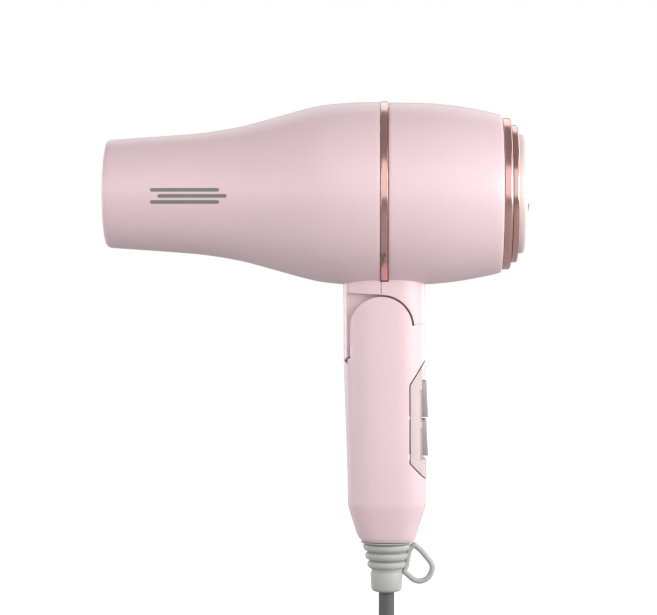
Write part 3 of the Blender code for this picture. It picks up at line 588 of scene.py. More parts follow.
def around_pivot(radius, degrees):
    """The (x, z) point at this distance and angle from the hinge."""
    angle = math.radians(degrees)
    return (PIVOT[0] + radius * math.cos(angle), PIVOT[1] + radius * math.sin(angle))


def arc(radius, start, end, steps):
    """Points on a circle about the hinge, seen from the side, between two angles in degrees."""
    return [around_pivot(radius, d) for d in np.linspace(start, end, steps)]


def shoulder_line(radius, gap):
    """The seam from the dome to the handle's rear, lifted by the gap."""
    start = around_pivot(radius, SHOULDER_DEG)
    return [(start[0], start[1] + gap), (WIDE, SHOULDER_END_Z + gap)]


def neck_zone(name, radius, gap):
    """All that belongs to the neck, seen from the side: above the dome, the shoulder and the front notch."""
    inner = around_pivot(radius, 180)[0]
    outline = arc(radius, SHOULDER_DEG, 180, 72)
    outline += [(inner, NOTCH_Z[1] + gap), (-WIDE, NOTCH_Z[0] + gap), (-WIDE, 0.0900), (WIDE, 0.0900)]
    outline[0], end = shoulder_line(radius, gap)
    return slab(name, [*outline, end], WIDE)


# --- materials ---


class Nodes:
    """A Principled material with a few helpers for its node tree."""

    def __init__(self, name, colour, roughness, metallic=0.0):
        self.material = bpy.data.materials.new(name)
        self.material.use_nodes = True
        self.tree = self.material.node_tree
        self.shader = self.tree.nodes["Principled BSDF"]
        self.colour = colour
        self.shader.inputs["Base Color"].default_value = (*colour, 1)
        self.shader.inputs["Roughness"].default_value = roughness
        self.shader.inputs["Metallic"].default_value = metallic
        coordinates = self.tree.nodes.new("ShaderNodeTexCoord")
        self.object_space = coordinates.outputs["Object"]

    def link(self, source, target):
        self.tree.links.new(source, target)

    def mapped(self, scale):
        mapping = self.tree.nodes.new("ShaderNodeMapping")
        mapping.inputs["Scale"].default_value = scale
        self.link(self.object_space, mapping.inputs["Vector"])
        return mapping.outputs["Vector"]

    def noise(self, scale, detail=3.0, stretch=(1, 1, 1)):
        made = self.tree.nodes.new("ShaderNodeTexNoise")
        made.inputs["Scale"].default_value = scale
        made.inputs["Detail"].default_value = detail
        self.link(self.mapped(stretch), made.inputs["Vector"])
        return made.outputs["Fac"]

    def ramp(self, value, low, high, start=0.3, end=0.7):
        """Maps value from start..end to the two given colours."""
        made = self.tree.nodes.new("ShaderNodeValToRGB")
        made.color_ramp.elements[0].position = start
        made.color_ramp.elements[1].position = end
        made.color_ramp.elements[0].color = (*low, 1)
        made.color_ramp.elements[1].color = (*high, 1)
        self.link(value, made.inputs["Fac"])
        return made.outputs["Color"]

    def vary_colour(self, value, share):
        low = [c * (1 - share) for c in self.colour]
        high = [min(1.0, c * (1 + share)) for c in self.colour]
        self.link(self.ramp(value, low, high), self.shader.inputs["Base Color"])

    def vary_roughness(self, value, low, high):
        made = self.tree.nodes.new("ShaderNodeMapRange")
        made.inputs["From Min"].default_value = 0.3
        made.inputs["From Max"].default_value = 0.7
        made.inputs["To Min"].default_value = low
        made.inputs["To Max"].default_value = high
        self.link(value, made.inputs["Value"])
        self.link(made.outputs["Result"], self.shader.inputs["Roughness"])

    def relief(self, value, distance, strength, edge=0.0):
        """Bump from value; with edge, corners also read as rounded by that radius."""
        bump = self.tree.nodes.new("ShaderNodeBump")
        bump.inputs["Distance"].default_value = distance
        bump.inputs["Strength"].default_value = strength
        self.link(value, bump.inputs["Height"])
        if edge:
            bevel = self.tree.nodes.new("ShaderNodeBevel")
            bevel.samples = 6
            bevel.inputs["Radius"].default_value = edge
            self.link(bevel.outputs["Normal"], bump.inputs["Normal"])
        self.link(bump.outputs["Normal"], self.shader.inputs["Normal"])


def satin_lacquer(name, colour, rough=(0.36, 0.44), edge=0.0007):
    """Sprayed satin lacquer: a faint orange peel and the slightest cloudiness."""
    made = Nodes(name, colour, rough[0])
    made.vary_colour(made.noise(28, 2), 0.012)
    made.vary_roughness(made.noise(420, 3), *rough)
    made.relief(made.noise(1500, 2), 0.00002, 0.35, edge)
    made.shader.inputs["Coat Weight"].default_value = 0.28
    made.shader.inputs["Coat Roughness"].default_value = 0.25
    return made.material


def moulded(name, colour, rough, grain=2600, depth=0.00003):
    """Moulded plastic or rubber with a fine spark-eroded grain."""
    made = Nodes(name, colour, rough[0])
    made.vary_colour(made.noise(90, 4), 0.04)
    made.vary_roughness(made.noise(700, 3), *rough)
    made.relief(made.noise(grain, 4), depth, 0.6, 0.0003)
    return made.material


def brushed(name, colour, rough, stretch=(900, 14, 14), metallic=1.0):
    """Spun metal: fine lines that run round the barrel's axis, so they vary fast along X only."""
    made = Nodes(name, colour, rough[0], metallic)
    lines = made.noise(1.0, 5, stretch)
    made.vary_colour(lines, 0.06)
    made.vary_roughness(lines, *rough)
    made.relief(lines, 0.000012, 0.5, 0.0002)
    return made.material


def sheath(name, colour):
    """Extruded cord sheath: satin, with a light scuff."""
    made = Nodes(name, colour, 0.45)
    made.vary_colour(made.noise(160, 5), 0.10)
    made.vary_roughness(made.noise(300, 4), 0.40, 0.58)
    made.relief(made.noise(1800, 3), 0.00003, 0.5)
    return made.material


def mica_board(name, colour):
    """Pressed mica flakes: pale scales in a resin, with a dull sparkle."""
    made = Nodes(name, colour, 0.5)
    cells = made.tree.nodes.new("ShaderNodeTexVoronoi")
    cells.inputs["Scale"].default_value = 900
    made.link(made.object_space, cells.inputs["Vector"])
    dark = [c * 0.75 for c in colour]
    bright = [min(1, c * 1.2) for c in colour]
    made.link(made.ramp(cells.outputs["Distance"], dark, bright, 0.0, 0.8), made.shader.inputs["Base Color"])
    made.relief(cells.outputs["Distance"], 0.00005, 0.5)
    return made.material


def woven(name, colour):
    """A fine square mesh, drawn as threads crossing in the filter's own plane."""
    made = Nodes(name, colour, 0.6)
    waves = []
    for axis in ("Y", "Z"):
        wave = made.tree.nodes.new("ShaderNodeTexWave")
        wave.bands_direction = axis
        wave.inputs["Scale"].default_value = 260
        made.link(made.object_space, wave.inputs["Vector"])
        waves.append(wave.outputs["Fac"])
    larger = made.tree.nodes.new("ShaderNodeMath")
    larger.operation = "MAXIMUM"
    made.link(waves[0], larger.inputs[0])
    made.link(waves[1], larger.inputs[1])
    bright = [c * 4.0 for c in colour]
    threads = made.ramp(larger.outputs["Value"], colour, bright, 0.3, 0.95)
    made.link(threads, made.shader.inputs["Base Color"])
    made.relief(larger.outputs["Value"], 0.0002, 0.8)
    return made.material


def grey_print():
    made = Nodes("grey_print", (0.20, 0.19, 0.19), 0.45)
    made.vary_colour(made.noise(300, 3), 0.08)
    made.vary_roughness(made.noise(900, 3), 0.40, 0.52)
    return made.material


MATERIALS = {
    "satin_pink": satin_lacquer("satin_pink_lacquer", (0.785, 0.586, 0.620)),
    "rose_gold": brushed("rose_gold_plating", (0.75, 0.44, 0.40), (0.14, 0.24)),
    "pale_metal": brushed("pale_rose_metal", (0.76, 0.65, 0.62), (0.50, 0.60), metallic=0.2),
    "pale_panel": satin_lacquer("pale_panel_lacquer", (0.60, 0.47, 0.465), (0.28, 0.36), 0.0004),
    "rocker_grey": moulded("rocker_grey_plastic", (0.37, 0.36, 0.375), (0.42, 0.52)),
    "soft_grey": moulded("soft_grey_rubber", (0.46, 0.46, 0.455), (0.55, 0.68), 1700, 0.00005),
    "cord_grey": sheath("cord_grey_sheath", (0.10, 0.10, 0.10)),
    "black_plastic": moulded("black_moulded_plastic", (0.022, 0.022, 0.023), (0.42, 0.56)),
    "white_plastic": moulded("white_moulded_plastic", (0.76, 0.75, 0.71), (0.45, 0.55)),
    "steel": brushed("plain_steel", (0.56, 0.57, 0.58), (0.25, 0.40), (400, 60, 60)),
    "dark_steel": moulded("dark_magnet", (0.06, 0.06, 0.065), (0.45, 0.6), 900, 0.00005),
    "mica": mica_board("mica_board", (0.62, 0.52, 0.37)),
    "brass": brushed("plain_brass", (0.76, 0.57, 0.25), (0.20, 0.34), (300, 300, 40)),
    "board_green": moulded("green_board", (0.03, 0.17, 0.07), (0.3, 0.45), 500, 0.00008),
    "copper": brushed("enamelled_copper", (0.72, 0.30, 0.15), (0.25, 0.4), (60, 900, 900)),
    "filter_mesh": woven("filter_mesh_threads", (0.03, 0.03, 0.032)),
    "lead_insulation": moulded("fibre_sleeve", (0.55, 0.54, 0.50), (0.6, 0.75), 2200, 0.00008),
}


def finish_piece(made, slot, body, *nodes):
    """Gives a piece its slot's material, lets it ride on a body and stand for CAD nodes."""
    made.data.materials.clear()
    made.data.materials.append(MATERIALS[slot])
    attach(made, body)
    if nodes:
        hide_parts(*nodes)
    return made


# --- camera and cord ---


def aimed(name, data, location, aim):
    """A camera or light at its place, turned towards a point."""
    made = bpy.data.objects.new(name, data)
    bpy.context.scene.collection.objects.link(made)
    made.location = location
    made.rotation_mode = "QUATERNION"
    made.rotation_quaternion = (Vector(aim) - Vector(location)).to_track_quat("-Z", "Y")
    return made


def make_camera():
    data = bpy.data.cameras.new("camera")
    data.sensor_width = 36.0
    data.lens = CAMERA_LENS
    bpy.context.scene.camera = aimed("camera", data, CAMERA_AT, CAMERA_AIM)


def eased(value, start, end):
    share = min(1.0, max(0.0, (value - start) / (end - start)))
    return share * share * (3 - 2 * share)


def coil_centre(forward):
    """The coil's axis: to the left of the place where the hanging lead touches down."""
    leftward = Vector((-forward.y, forward.x, 0))
    return Vector((GUARD_X, 0, 0)) + LEAD_BEND * forward + (COIL_RADII[1] + GAP) * leftward


def coil_point(turns, centre):
    """The cord's place after so many turns: in over the upper layer, then out again under it."""
    inner, outer = COIL_RADII
    pitch = (outer - inner) / 2
    low = FLOOR_Z + COIL_LIFT + CORD_R
    top = low + 4 * CORD_R + GAP
    radius = outer + GAP * (1 - eased(turns, 0.0, 0.2))
    radius -= pitch * (eased(turns, 0.9, 1.1) + eased(turns, 1.9, 2.1))
    radius += pitch * (eased(turns, 3.7, 3.9) + eased(turns, 4.7, 4.9))
    radius += (2 * CORD_R + GAP) * eased(turns, 5.38, END_TURNS)
    height = top - (2 * CORD_R + GAP) * eased(turns, 0.02, 0.30)
    height -= 2 * CORD_R * eased(turns, 2.78, 3.0)
    height -= COIL_LIFT * eased(turns, 5.45, END_TURNS)
    angle = HEADING - math.pi / 2 + 2 * math.pi * turns
    return Vector((centre.x + radius * math.cos(angle), centre.y + radius * math.sin(angle), height))


def make_cord():
    """One sweep from the guard down a wide bend, round the coil and along the tail to the plug."""
    forward = Vector((math.cos(HEADING), math.sin(HEADING), 0))
    down = Vector((0, 0, -1))
    centre = coil_centre(forward)
    landing = FLOOR_Z + COIL_LIFT + 5 * CORD_R + GAP
    bend = Vector((GUARD_X, 0, landing + LEAD_BEND))
    route = [Vector((GUARD_X, 0, z)) for z in np.linspace(CORD_TOP, bend.z, 16, endpoint=False)]
    for angle in np.linspace(0, math.pi / 2, 20, endpoint=False):
        route.append(bend + LEAD_BEND * ((1 - math.cos(angle)) * forward + math.sin(angle) * down))
    route += [coil_point(turns, centre) for turns in np.linspace(0, END_TURNS, 340)]
    last = route[-1]
    height = FLOOR_Z + PLUG_HEIGHT / 2
    tail_end = last.x + TAIL_LENGTH
    tail = [last, last + Vector((0.010, 0, 0)), Vector((last.x + 0.026, last.y, height - 0.0024))]
    tail += [Vector((tail_end - 0.008, last.y, height)), Vector((tail_end, last.y, height))]
    route += smooth_route(tail, 18)[1:]
    made = tube("mains_cord", route, CORD_R)
    finish_piece(made, "cord_grey", "handle", "power_cord", "cord_coil", "cord_tail")
    return made, centre, last, tail_end


def make_plug(last, tail_end):
    """A flat two-pin plug: a waisted, finger-ribbed body with a short flexible nose."""
    y = last.y
    z = FLOOR_Z + PLUG_HEIGHT / 2
    low_x = tail_end + 2 * GAP
    bm = bmesh.new()
    rows = []
    for offset, half_y, half_z in PLUG_SECTIONS:
        row = []
        for step in range(PLUG_POINTS):
            angle = 2 * math.pi * step / PLUG_POINTS
            at_y, at_z = squared(angle, half_y, half_z, 0.55, 0.60)
            row.append(bm.verts.new((low_x + offset, y + at_y, z + at_z)))
        rows.append(row)
    loft(bm, rows)
    body = from_bmesh("plug_moulding", bm)
    grips = []
    for side, sign in SIDES:
        middle = y + sign * 0.0118
        for k in range(PLUG_GRIPS):
            x = low_x + 0.0185 + 0.0030 * k
            low, high = (x, middle - 0.0010, z - 0.0052), (x + 0.0012, middle + 0.0010, z + 0.0052)
            grips.append(box(f"cut_grip_{side}_{k}", low, high))
    body = cut(body, *grips)
    finish_piece(body, "black_plastic", "handle", "plug_body")
    return [body, *make_pins(low_x + PLUG_SECTIONS[-1][0] + GAP, y, z)]


def make_pins(start, plug_y, z):
    """Two flat blades with eased edges and a hole near the tip."""
    pins = []
    half_y, half_z = PIN_HALF
    for side, sign in SIDES:
        y = plug_y + sign * PIN_SPACING / 2
        low, high = (start, y - half_y, z - half_z), (start + PIN_LENGTH - GAP, y + half_y, z + half_z)
        pin = baked(rounded(box(f"plug_blade_{side}", low, high), 0.0005))
        hole = across(f"blade_hole_{side}", (start + PIN_LENGTH - 0.0040, z), 0.2, 0.0014, sides=32)
        pin = cut(pin, hole)
        finish_piece(pin, "brass", "handle", f"plug_pin_{side}")
        pins.append(pin)
    return pins


def make_tie(centre):
    """A hook-and-loop strap round the bundle, its end lapped over the top."""
    bottom = FLOOR_Z + COIL_LIFT
    inner, outer = COIL_RADII[0] - CORD_R - 4 * GAP, COIL_RADII[1] + CORD_R + GAP
    low, high = bottom - GAP, bottom + 4 * CORD_R + GAP
    half_y, half_z = (outer - inner) / 2, (high - low) / 2
    middle_y, middle_z = centre.y + (inner + outer) / 2, (low + high) / 2
    bm = bmesh.new()

    def strap_loop(x, extra):
        made = []
        for k in range(TIE_POINTS):
            y, z = squared(2 * math.pi * k / TIE_POINTS, half_y + extra, half_z + extra, 0.35, 0.35)
            made.append(bm.verts.new((centre.x + x, middle_y + y, middle_z + z)))
        return made

    rows = []
    for x, thin in ((-TIE_HALF, 0.25), (-TIE_HALF + 0.0004, 0), (TIE_HALF - 0.0004, 0), (TIE_HALF, 0.25)):
        rows.append((strap_loop(x, TIE_WALL * thin * 0.5), strap_loop(x, TIE_WALL * (1 - thin * 0.5))))
    for near, far in zip(rows, rows[1:]):
        walls(bm, near[0], far[0])
        walls(bm, near[1], far[1])
    for inside, outside in (rows[0], rows[-1]):
        walls(bm, inside, outside)
    strap = from_bmesh("coil_strap", bm)
    flap = box(
        "coil_strap_flap",
        (centre.x - TIE_HALF + 0.0003, middle_y - half_y * 0.35, high + TIE_WALL),
        (centre.x + TIE_HALF - 0.0003, middle_y + half_y * 0.75, high + TIE_WALL + 0.0007),
    )
    flap = baked(rounded(flap, 0.0003, 2))
    finish_piece(strap, "black_plastic", "handle", "coil_tie")
    finish_piece(flap, "black_plastic", "handle")
    return [strap, flap]


# --- barrel ---


def shell_outline(first, run, last, count):
    """The outer line with its rims, then the inner line back, one wall thickness in."""
    line = smooth_profile(run, count)
    return [*first, *line, *last, *((x, r - SHELL) for x, r in reversed(line))]


def neck_cutters(name, seam_side):
    """What both halves of the neck leave free: the other half, the barrel, the trim ring and the sleeve."""
    ends = sorted((seam_side * 0.0600, SEAM_X - seam_side * GAP / 2))
    return [
        box(f"cut_seam_{name}", (ends[0], -0.05, 0.0), (ends[1], 0.05, 0.10)),
        turned(f"cut_bore_{name}", ((-0.05, 0.0), (-0.05, 0.0417), (0.05, 0.0417), (0.05, 0.0))),
        ring(f"cut_groove_{name}", TRIM_X[0] - 0.0004, TRIM_X[1] + 0.0004, 0.0405, TRIM_R[1] + GAP),
        across(f"cut_bore_sleeve_{name}", PIVOT, WIDE, SLEEVE_R[1] + GAP),
    ]


def seam_lips(name, grow):
    """The tongues that the rear half pushes into the front one, so that no light passes the seam."""
    lips = []
    for side, sign in SIDES:
        ends = sorted((sign * (LIP_Y[0] - grow), sign * (LIP_Y[1] + grow)))
        low, high = (LIP_X[0] - grow, ends[0], LIP_Z[0] - 4 * grow), (LIP_X[1], ends[1], LIP_Z[1] + grow)
        lips.append(box(f"{name}_{side}", low, high))
    return lips


def neck_core(name):
    """The neck's outer block and the tongue that turns between the handle's cheeks."""
    block = handle_loft(f"{name}_block", 0.0440, 0.0745, 0)
    return block, slab(f"{name}_tongue", [*arc(DOME_R - NECK_GAP, 180, 360, 60), *TONGUE_TOP], TONGUE_Y)


def wire_channel(name, high):
    """The way of the leads up through the neck."""
    near, far = (CHANNEL_X[0], -CHANNEL_Y, CHANNEL_Z), (CHANNEL_X[1], CHANNEL_Y, high)
    return box(f"cut_wire_channel_{name}", near, far)


def make_neck_front():
    block, tongue = neck_core("neck_front")
    leg = keep(handle_loft("neck_leg", 0.0300, 0.0700, 0), slab("keep_leg", LEG_OUTLINE, LEG_Y))
    foot = [*arc(LEG_SWEEP_R - NECK_GAP, 223, 229, 8), *LEG_FOOT_TOP]
    leg = join(leg, slab("leg_foot", foot, LEG_FOOT_Y))
    block = keep(block, slab("keep_neck_front", NECK_TOP, WIDE))
    block = join(block, tongue, leg)
    block = cut(block, *neck_cutters("front", 1), *seam_lips("cut_lip", GAP))
    passage = slab("cut_wire_passage", [PIVOT, *arc(PASSAGE_R, 168, 285, 32)], PASSAGE_Y)
    passage = keep(passage, box("behind_leg", (-0.0165, -0.0100, 0.0), (0.0600, 0.0100, 0.0900)))
    slit = slab("cut_lead_slit", [PIVOT, *arc(PASSAGE_R, 178, 285, 32)], SLIT_Y)
    return cut(block, passage, slit, wire_channel("front", 0.0690))


def make_neck_rear():
    block, tongue = neck_core("neck_rear")
    block = keep(block, neck_zone("keep_neck_rear", DOME_R + ARC_GAP, SHOULDER_GAP))
    block = join(block, tongue)
    block = join(cut(block, *neck_cutters("rear", -1)), *seam_lips("lip", 0))
    passage = slab("cut_wire_passage_rear", [PIVOT, *arc(PASSAGE_R, 255, 285, 16)], PASSAGE_Y)
    return cut(block, passage, wire_channel("rear", 0.0600))


def make_housings():
    """The barrel's two shells, each one moulding with its half of the neck."""
    outline = [*shell_outline(FRONT_RIM, FRONT_RUN, FRONT_LAST, 56), *MOUTH_INSIDE]
    front = turned("front_shell_looks", outline)
    front = join(front, turned("front_spigot", SPIGOT_OUTLINE), make_neck_front())
    mouth = box("cut_wire_mouth", (CHANNEL_X[0], -CHANNEL_Y, 0.0650), (-0.0074, CHANNEL_Y, 0.0760))
    front = cut(front, mouth)
    finish_piece(front, "satin_pink", "barrel", "front_housing")

    rear = turned("rear_shell_looks", shell_outline(REAR_FIRST, REAR_RUN, REAR_LAST, 40))
    rear = join(rear, make_neck_rear())
    finish_piece(rear, "satin_pink", "barrel", "rear_housing")


def make_trim():
    low, high = TRIM_X
    soft = 0.0004
    outline = (
        (low, TRIM_R[0]),
        (low, TRIM_R[1] - soft),
        (low + soft * 0.35, TRIM_R[1] - soft * 0.25),
        (low + soft, TRIM_R[1]),
        (high - soft, TRIM_R[1]),
        (high - soft * 0.35, TRIM_R[1] - soft * 0.25),
        (high, TRIM_R[1] - soft),
        (high, TRIM_R[0]),
    )
    finish_piece(turned("trim_band", outline, steps=192), "rose_gold", "barrel", "trim_ring")


def make_outlet():
    """The grille across the nozzle: a rim, a hub ring and three bars, all with eased edges."""
    parts = [ring("grille_hub", *GRILLE_X, 0.0080, 0.0095, steps=72)]
    for k in range(3):
        bar = box(f"grille_bar_{k}", (-0.1178, -0.0230, -0.0006), (-0.1142, 0.0230, 0.0006))
        bar.location = (0, 0, BARREL_Z)
        bar.rotation_euler = (k * math.pi / 3, 0, 0)
        parts.append(baked(rounded(bar, 0.0003, 2)))
    grille = join(turned("nozzle_grille", GRILLE_OUTLINE), *parts)
    finish_piece(grille, "black_plastic", "barrel", "outlet_grille")


def make_heater_sleeve():
    sleeve = ring("heater_sleeve_looks", *HEATER_X, *HEATER_R, steps=96)
    finish_piece(sleeve, "mica", "barrel", "heater_sleeve")
    steps = 60 * ELEMENT_TURNS
    points = []
    for k in range(steps + 1):
        angle = 2 * math.pi * ELEMENT_TURNS * k / steps
        x = ELEMENT_X[0] + (ELEMENT_X[1] - ELEMENT_X[0]) * k / steps
        points.append((x, ELEMENT_R * math.cos(angle), BARREL_Z + ELEMENT_R * math.sin(angle)))
    element = tube("heating_element", points, ELEMENT_WIRE_R, resolution=4)
    finish_piece(element, "steel", "barrel", "heating_coil")


def barrel_radius(x):
    """The front housing's outside radius at x."""
    run = smooth_profile(FRONT_RUN, 200)
    return float(np.interp(x, [p[0] for p in run], [p[1] for p in run]))


def print_bar(name, start, end, height):
    """A thin film on the near side of the nozzle, round at both ends."""
    across_steps, along_steps = 8, 64
    bm = bmesh.new()
    grid = []
    for i in range(along_steps + 1):
        x = start + (end - start) * i / along_steps
        from_end = min(x - start, end - x)
        narrow = math.sqrt(max(0.0, 1 - (1 - min(1.0, from_end / PRINT_HALF)) ** 2))
        radius = barrel_radius(x) + PRINT_LIFT
        row = []
        for j in range(across_steps + 1):
            z = height + PRINT_HALF * narrow * (2 * j / across_steps - 1)
            row.append(bm.verts.new((x, -math.sqrt(radius**2 - z**2), BARREL_Z + z)))
        grid.append(row)
    for near, far in zip(grid, grid[1:]):
        for j in range(across_steps):
            bm.faces.new((near[j], far[j], far[j + 1], near[j + 1]))
    bmesh.ops.remove_doubles(bm, verts=bm.verts, dist=0.000001)
    return from_bmesh(name, bm)


def make_print():
    """A small plain mark of three slim bars, printed on the nozzle's side."""
    material = grey_print()
    for k, bar in enumerate(PRINT_BARS):
        made = print_bar(f"print_bar_{k}", *bar)
        made.data.materials.append(material)
        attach(made, "barrel")


# --- intake ---


def eased_ring(low_x, high_x, inner, outer, soft):
    """A ring's outline with its outer rear corner well rounded."""
    points = [(low_x, inner), (low_x, outer - 0.0002), (low_x + 0.0002, outer)]
    for angle in np.linspace(math.pi / 2, 0, 8):
        points.append((high_x - soft + soft * math.cos(angle), outer - soft + soft * math.sin(angle)))
    points += [(high_x, inner + 0.0002), (high_x - 0.0002, inner)]
    return points


def round_slot(name, depth, span, half):
    """A cutter for a radial slot with round ends, lying along Y from the barrel's axis."""
    end = [(half * math.cos(a), half * math.sin(a)) for a in np.linspace(-math.pi / 2, math.pi / 2, 9)]
    outline = [(span[1] - half + c, s) for c, s in end] + [(span[0] + half - c, -s) for c, s in end]
    bm = bmesh.new()
    loft(bm, [[bm.verts.new((x, y, z)) for y, z in outline] for x in depth])
    made = from_bmesh(name, bm)
    made.location = (0, 0, BARREL_Z)
    return made


def make_intake():
    """The pull-off cover: its carrier, two plated rings, the slotted dome and the cap in its middle."""
    carrier = turned("intake_carrier_looks", CARRIER_OUTLINE)
    spokes = [rod("carrier_boss", (0.0560, 0, BARREL_Z), (0.0612, 0, BARREL_Z), 0.0050)]
    for k in range(SPOKES):
        spoke = box(f"carrier_spoke_{k}", (0.0564, 0.0035, -0.0009), (0.0610, 0.0298, 0.0009))
        spoke.location = (0, 0, BARREL_Z)
        spoke.rotation_euler = (math.pi * (2 * k + 1) / SPOKES, 0, 0)
        spokes.append(spoke)
    finish_piece(join(carrier, *spokes), "black_plastic", "intake_cover", "intake_carrier")

    for name, *sizes in INTAKE_RINGS:
        band = turned(f"intake_band_{name}", eased_ring(*sizes, 0.0010), steps=192)
        finish_piece(band, "rose_gold", "intake_cover", f"intake_ring_{name}")

    dome = [(0.0622, 0.0), (0.0622, 0.0282), *smooth_profile(DOME_RIM, 10)]
    dome += [(0.0660, 0.0110), (0.0658, 0.0106), (0.0658, 0.0)]
    cover = turned("intake_dome_looks", dome, steps=160)
    slots = []
    for k in range(INTAKE_SLOTS):
        slot = round_slot(f"cut_intake_slot_{k}", (0.0600, 0.0700), INTAKE_SLOT_R, INTAKE_SLOT_HALF)
        slot.rotation_euler = (2 * math.pi * (k + 0.5) / INTAKE_SLOTS, 0, 0)
        slots.append(baked(slot))
    finish_piece(cut(cover, *slots), "pale_metal", "intake_cover", "intake_dome")

    cap_outline = [(CAP_PROFILE[0][0], 0.0), *smooth_profile(CAP_PROFILE, 20)]
    cap = turned("intake_cap_looks", cap_outline, steps=96)
    grips = []
    for side, sign in SIDES:
        ends = sorted(sign * y for y in CAP_GRIP_Y)
        middle = BARREL_Z + sign * CAP_GRIP_OFF
        low = (CAP_GRIP_X[0], ends[0], middle - CAP_GRIP_HALF)
        high = (CAP_GRIP_X[1], ends[1], middle + CAP_GRIP_HALF)
        grips.append(box(f"cut_cap_grip_{side}", low, high))
    finish_piece(cut(cap, *grips), "pale_panel", "intake_cover", "intake_cap")


# --- handle ---


def make_handle():
    """Both shells: one hollowed handle, then cut in two along its middle plane."""
    whole = handle_loft("handle_whole", HANDLE_BOTTOM, 0.0700, 0)
    cutters = [
        neck_zone("cut_neck_space", DOME_R, 0),
        handle_loft("cut_cavity", CAVITY_Z[0], CAVITY_Z[1], WALL),
        box("cut_tongue_slot", (-0.0170, -CHEEK_Y, 0.0325), (0.0166, CHEEK_Y, 0.0950)),
        slab("cut_leg_sweep", [PIVOT, *arc(LEG_SWEEP_R, 150, 308, 64)], LEG_Y + GAP),
        across("cut_sleeve_pocket", PIVOT, 0.0136, SLEEVE_R[1] + GAP),
        slab("cut_panel_space", PANEL_OUTLINE, WIDE),
        rod("cut_guard_hole", (GUARD_X, 0, -0.0560), (GUARD_X, 0, -0.0450), 0.0072),
    ]
    whole = cut(whole, *cutters)
    for side, sign in SIDES:
        ends = sorted((-sign * 0.040, sign * GAP / 2))
        far = box(f"cut_far_side_{side}", (-0.05, ends[0], -0.08), (0.05, ends[1], 0.10))
        shell = cut(copy_of(whole, f"handle_side_{side}"), far)
        finish_piece(shell, "satin_pink", "handle", f"handle_shell_{side}")
    bpy.data.objects.remove(whole)


def inset_outline(outline, amount):
    """The outline with every side moved inwards."""
    points = [Vector(p) for p in outline]
    area = sum(a.x * b.y - b.x * a.y for a, b in zip(points, points[1:] + points[:1]))
    turn = math.copysign(1, area)
    made = []
    for before, at, after in zip(points[-1:] + points[:-1], points, points[1:] + points[:1]):
        first = (at - before).normalized()
        second = (after - at).normalized()
        first_in = turn * Vector((-first.y, first.x))
        second_in = turn * Vector((-second.y, second.x))
        made.append(tuple(at + amount * (first_in + second_in) / (1 + first_in.dot(second_in))))
    return made


def make_switch_panel():
    """The plate let into the back of the handle, with a shallow dip, two rocker bays and finger notches."""
    panel = handle_loft("switch_panel_looks", -0.0310, 0.0450, 0.00005)
    panel = keep(panel, slab("keep_panel", inset_outline(PANEL_OUTLINE, PANEL_GAP), WIDE))
    inside = handle_loft("cut_panel_inside", -0.0260, 0.0300, PANEL_THICKNESS)
    cutters = [inside, slab("cut_panel_dip", PANEL_DIP, WIDE)]
    for k, (low, high) in enumerate(FINGER_NOTCHES):
        for side, sign in SIDES:
            ends = sorted((sign * NOTCH_Y, sign * WIDE))
            start, end = (NOTCH_X[0], ends[0], low), (NOTCH_X[1], ends[1], high)
            cutters.append(box(f"cut_notch_{k}_{side}", start, end))
    for name, z in ROCKERS:
        half = ROCKER_LENGTH / 2 + BAY_GAP
        cutters.append(box(f"cut_{name}_bay", (0.0100, -BAY_Y, z - half), (0.0240, BAY_Y, z + half)))
    finish_piece(cut(panel, *cutters), "pale_panel", "handle", "switch_panel")


def make_rocker(name, z):
    """A key with a slightly hollow face, its lower end standing proud, and three grip lines there."""
    low, high = z - ROCKER_LENGTH / 2, z + ROCKER_LENGTH / 2
    back, lip, face = ROCKER_X - ROCKER_BACK, ROCKER_X + ROCKER_LIP, ROCKER_FACE
    outline = [(back, low + ROCKER_CHAMFER), (lip, low)]
    outline += [(face + 0.0006, low), (face + 0.0001, z), (face - 0.0002, high)]
    outline += [(lip, high), (back, high - ROCKER_CHAMFER)]
    key = baked(rounded(slab(f"{name}_key", outline, ROCKER_Y), 0.0006, 4, 25))
    grooves = []
    for k in range(3):
        at = low + 0.0034 + 0.0016 * k
        start, end = (face + 0.0001, -GRIP_Y, at), (face + 0.0020, GRIP_Y, at + 0.0006)
        grooves.append(box(f"cut_{name}_groove_{k}", start, end))
    key = cut(key, *grooves)
    finish_piece(key, "rocker_grey", f"{name}_rocker", f"{name}_rocker")


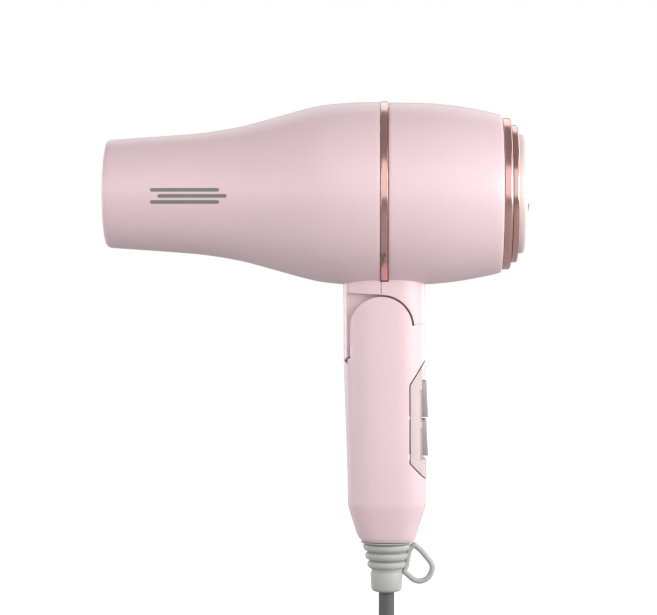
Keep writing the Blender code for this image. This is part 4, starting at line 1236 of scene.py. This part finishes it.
def make_guard():
    """The strain relief, turned about the cord, and the hanging loop on its rear side."""
    outline = [(GUARD_TOP, 0.0), (GUARD_TOP, FLANGE_R - 0.0002), (GUARD_TOP - 0.0002, FLANGE_R)]
    outline += [(GUARD_TOP - 0.0005, FLANGE_R - 0.0001), (GUARD_TOP - 0.0008, RIDGES[0][1] - RIDGE_DEPTH)]
    for z, radius in RIDGES:
        outline += [(z + lift, radius - fall) for lift, fall in RIDGE_CROWN]
    top, wide = COLLAR[0]
    outline += [(top + 0.0005, wide - 0.0008), (top + 0.0001, wide - 0.0002), (top - 0.0004, wide), COLLAR[1]]
    end = COLLAR[1][1]
    outline += [(GUARD_BOTTOM + 0.0008, end - 0.0003), (GUARD_BOTTOM + 0.0002, end - 0.0009)]
    outline += [(GUARD_BOTTOM, end - 0.0016), (GUARD_BOTTOM, 0.0)]
    guard = turned("cord_guard_looks", outline, steps=96, centre=(GUARD_X, 0, 0), upright=True)
    neck = rod("guard_neck", (GUARD_X, 0, -0.0545), (GUARD_X, 0, -0.0490), 0.0068)
    bore = rod("cut_guard_bore", (GUARD_X, 0, -0.0400), (GUARD_X, 0, -0.0800), CORD_R + GAP / 2, sides=48)
    guard = cut(join(guard, neck), bore)
    finish_piece(guard, "soft_grey", "handle", "cord_guard")
    route = smooth_route([(x, 0, z) for x, z in (*LOOP_ROUTE, LOOP_ROUTE[0])], 97)[:-1]
    loop = tube("guard_loop_looks", route, LOOP_R, closed=True)
    finish_piece(loop, "soft_grey", "handle")


# --- light and stage ---


def seen_or_lit(tree, socket, lit, seen):
    """One strength for what the stage sheds on the object, another for how white it looks."""
    path = tree.nodes.new("ShaderNodeLightPath")
    mix = tree.nodes.new("ShaderNodeMix")
    mix.data_type = "FLOAT"
    mix.inputs[2].default_value = lit
    mix.inputs[3].default_value = seen
    tree.links.new(path.outputs["Is Camera Ray"], mix.inputs[0])
    tree.links.new(mix.outputs[0], socket)


def make_stage():
    bm = bmesh.new()
    bmesh.ops.create_circle(bm, cap_ends=True, segments=96, radius=STAGE_R)
    bmesh.ops.translate(bm, vec=(0, 0, FLOOR_Z), verts=bm.verts)
    floor = from_bmesh("floor", bm)
    material = Nodes("pale_floor", (0.3, 0.3, 0.3), 0.9)
    material.shader.inputs["Emission Color"].default_value = (1, 1, 1, 1)
    seen_or_lit(material.tree, material.shader.inputs["Emission Strength"], FLOOR_GLOW, CAMERA_GLOW)
    material.shader.inputs["Specular IOR Level"].default_value = 0.0
    floor.data.materials.append(material.material)


def area_light(name, location, size, power):
    data = bpy.data.lights.new(name, "AREA")
    data.shape = "RECTANGLE"
    data.size, data.size_y = size
    data.energy = power
    return aimed(name, data, location, LIGHT_AIM)


def make_light():
    scene = bpy.context.scene
    world = bpy.data.worlds.new("studio")
    scene.world = world
    world.use_nodes = True
    tree = world.node_tree
    background = tree.nodes["Background"]
    seen_or_lit(tree, background.inputs["Strength"], SKY, 1.0)
    background.inputs["Color"].default_value = (1, 1, 1, 1)
    area_light(*FRONT_PANEL).visible_diffuse = False
    for softbox in LIGHTS:
        area_light(*softbox)
    scene.view_settings.view_transform = "Standard"
    scene.view_settings.look = "None"


def dress_cad_nodes():
    """Every CAD node that still shows gets its slot's detailed material."""
    slots = {row["node"]: row["material_slot"] for row in frame["record"]["subparts"]}
    for name, node in frame["nodes"].items():
        node.data.materials.clear()
        node.data.materials.append(MATERIALS[slots[name]])


make_camera()
cord, centre, last, tail_end = make_cord()
cord_pieces = [*make_plug(last, tail_end), *make_tie(centre)]
make_housings()
make_trim()
make_outlet()
make_heater_sleeve()
make_print()
make_intake()
make_handle()
make_switch_panel()
for rocker, height in ROCKERS:
    make_rocker(rocker, height)
make_guard()
dress_cad_nodes()
make_stage()
make_light()
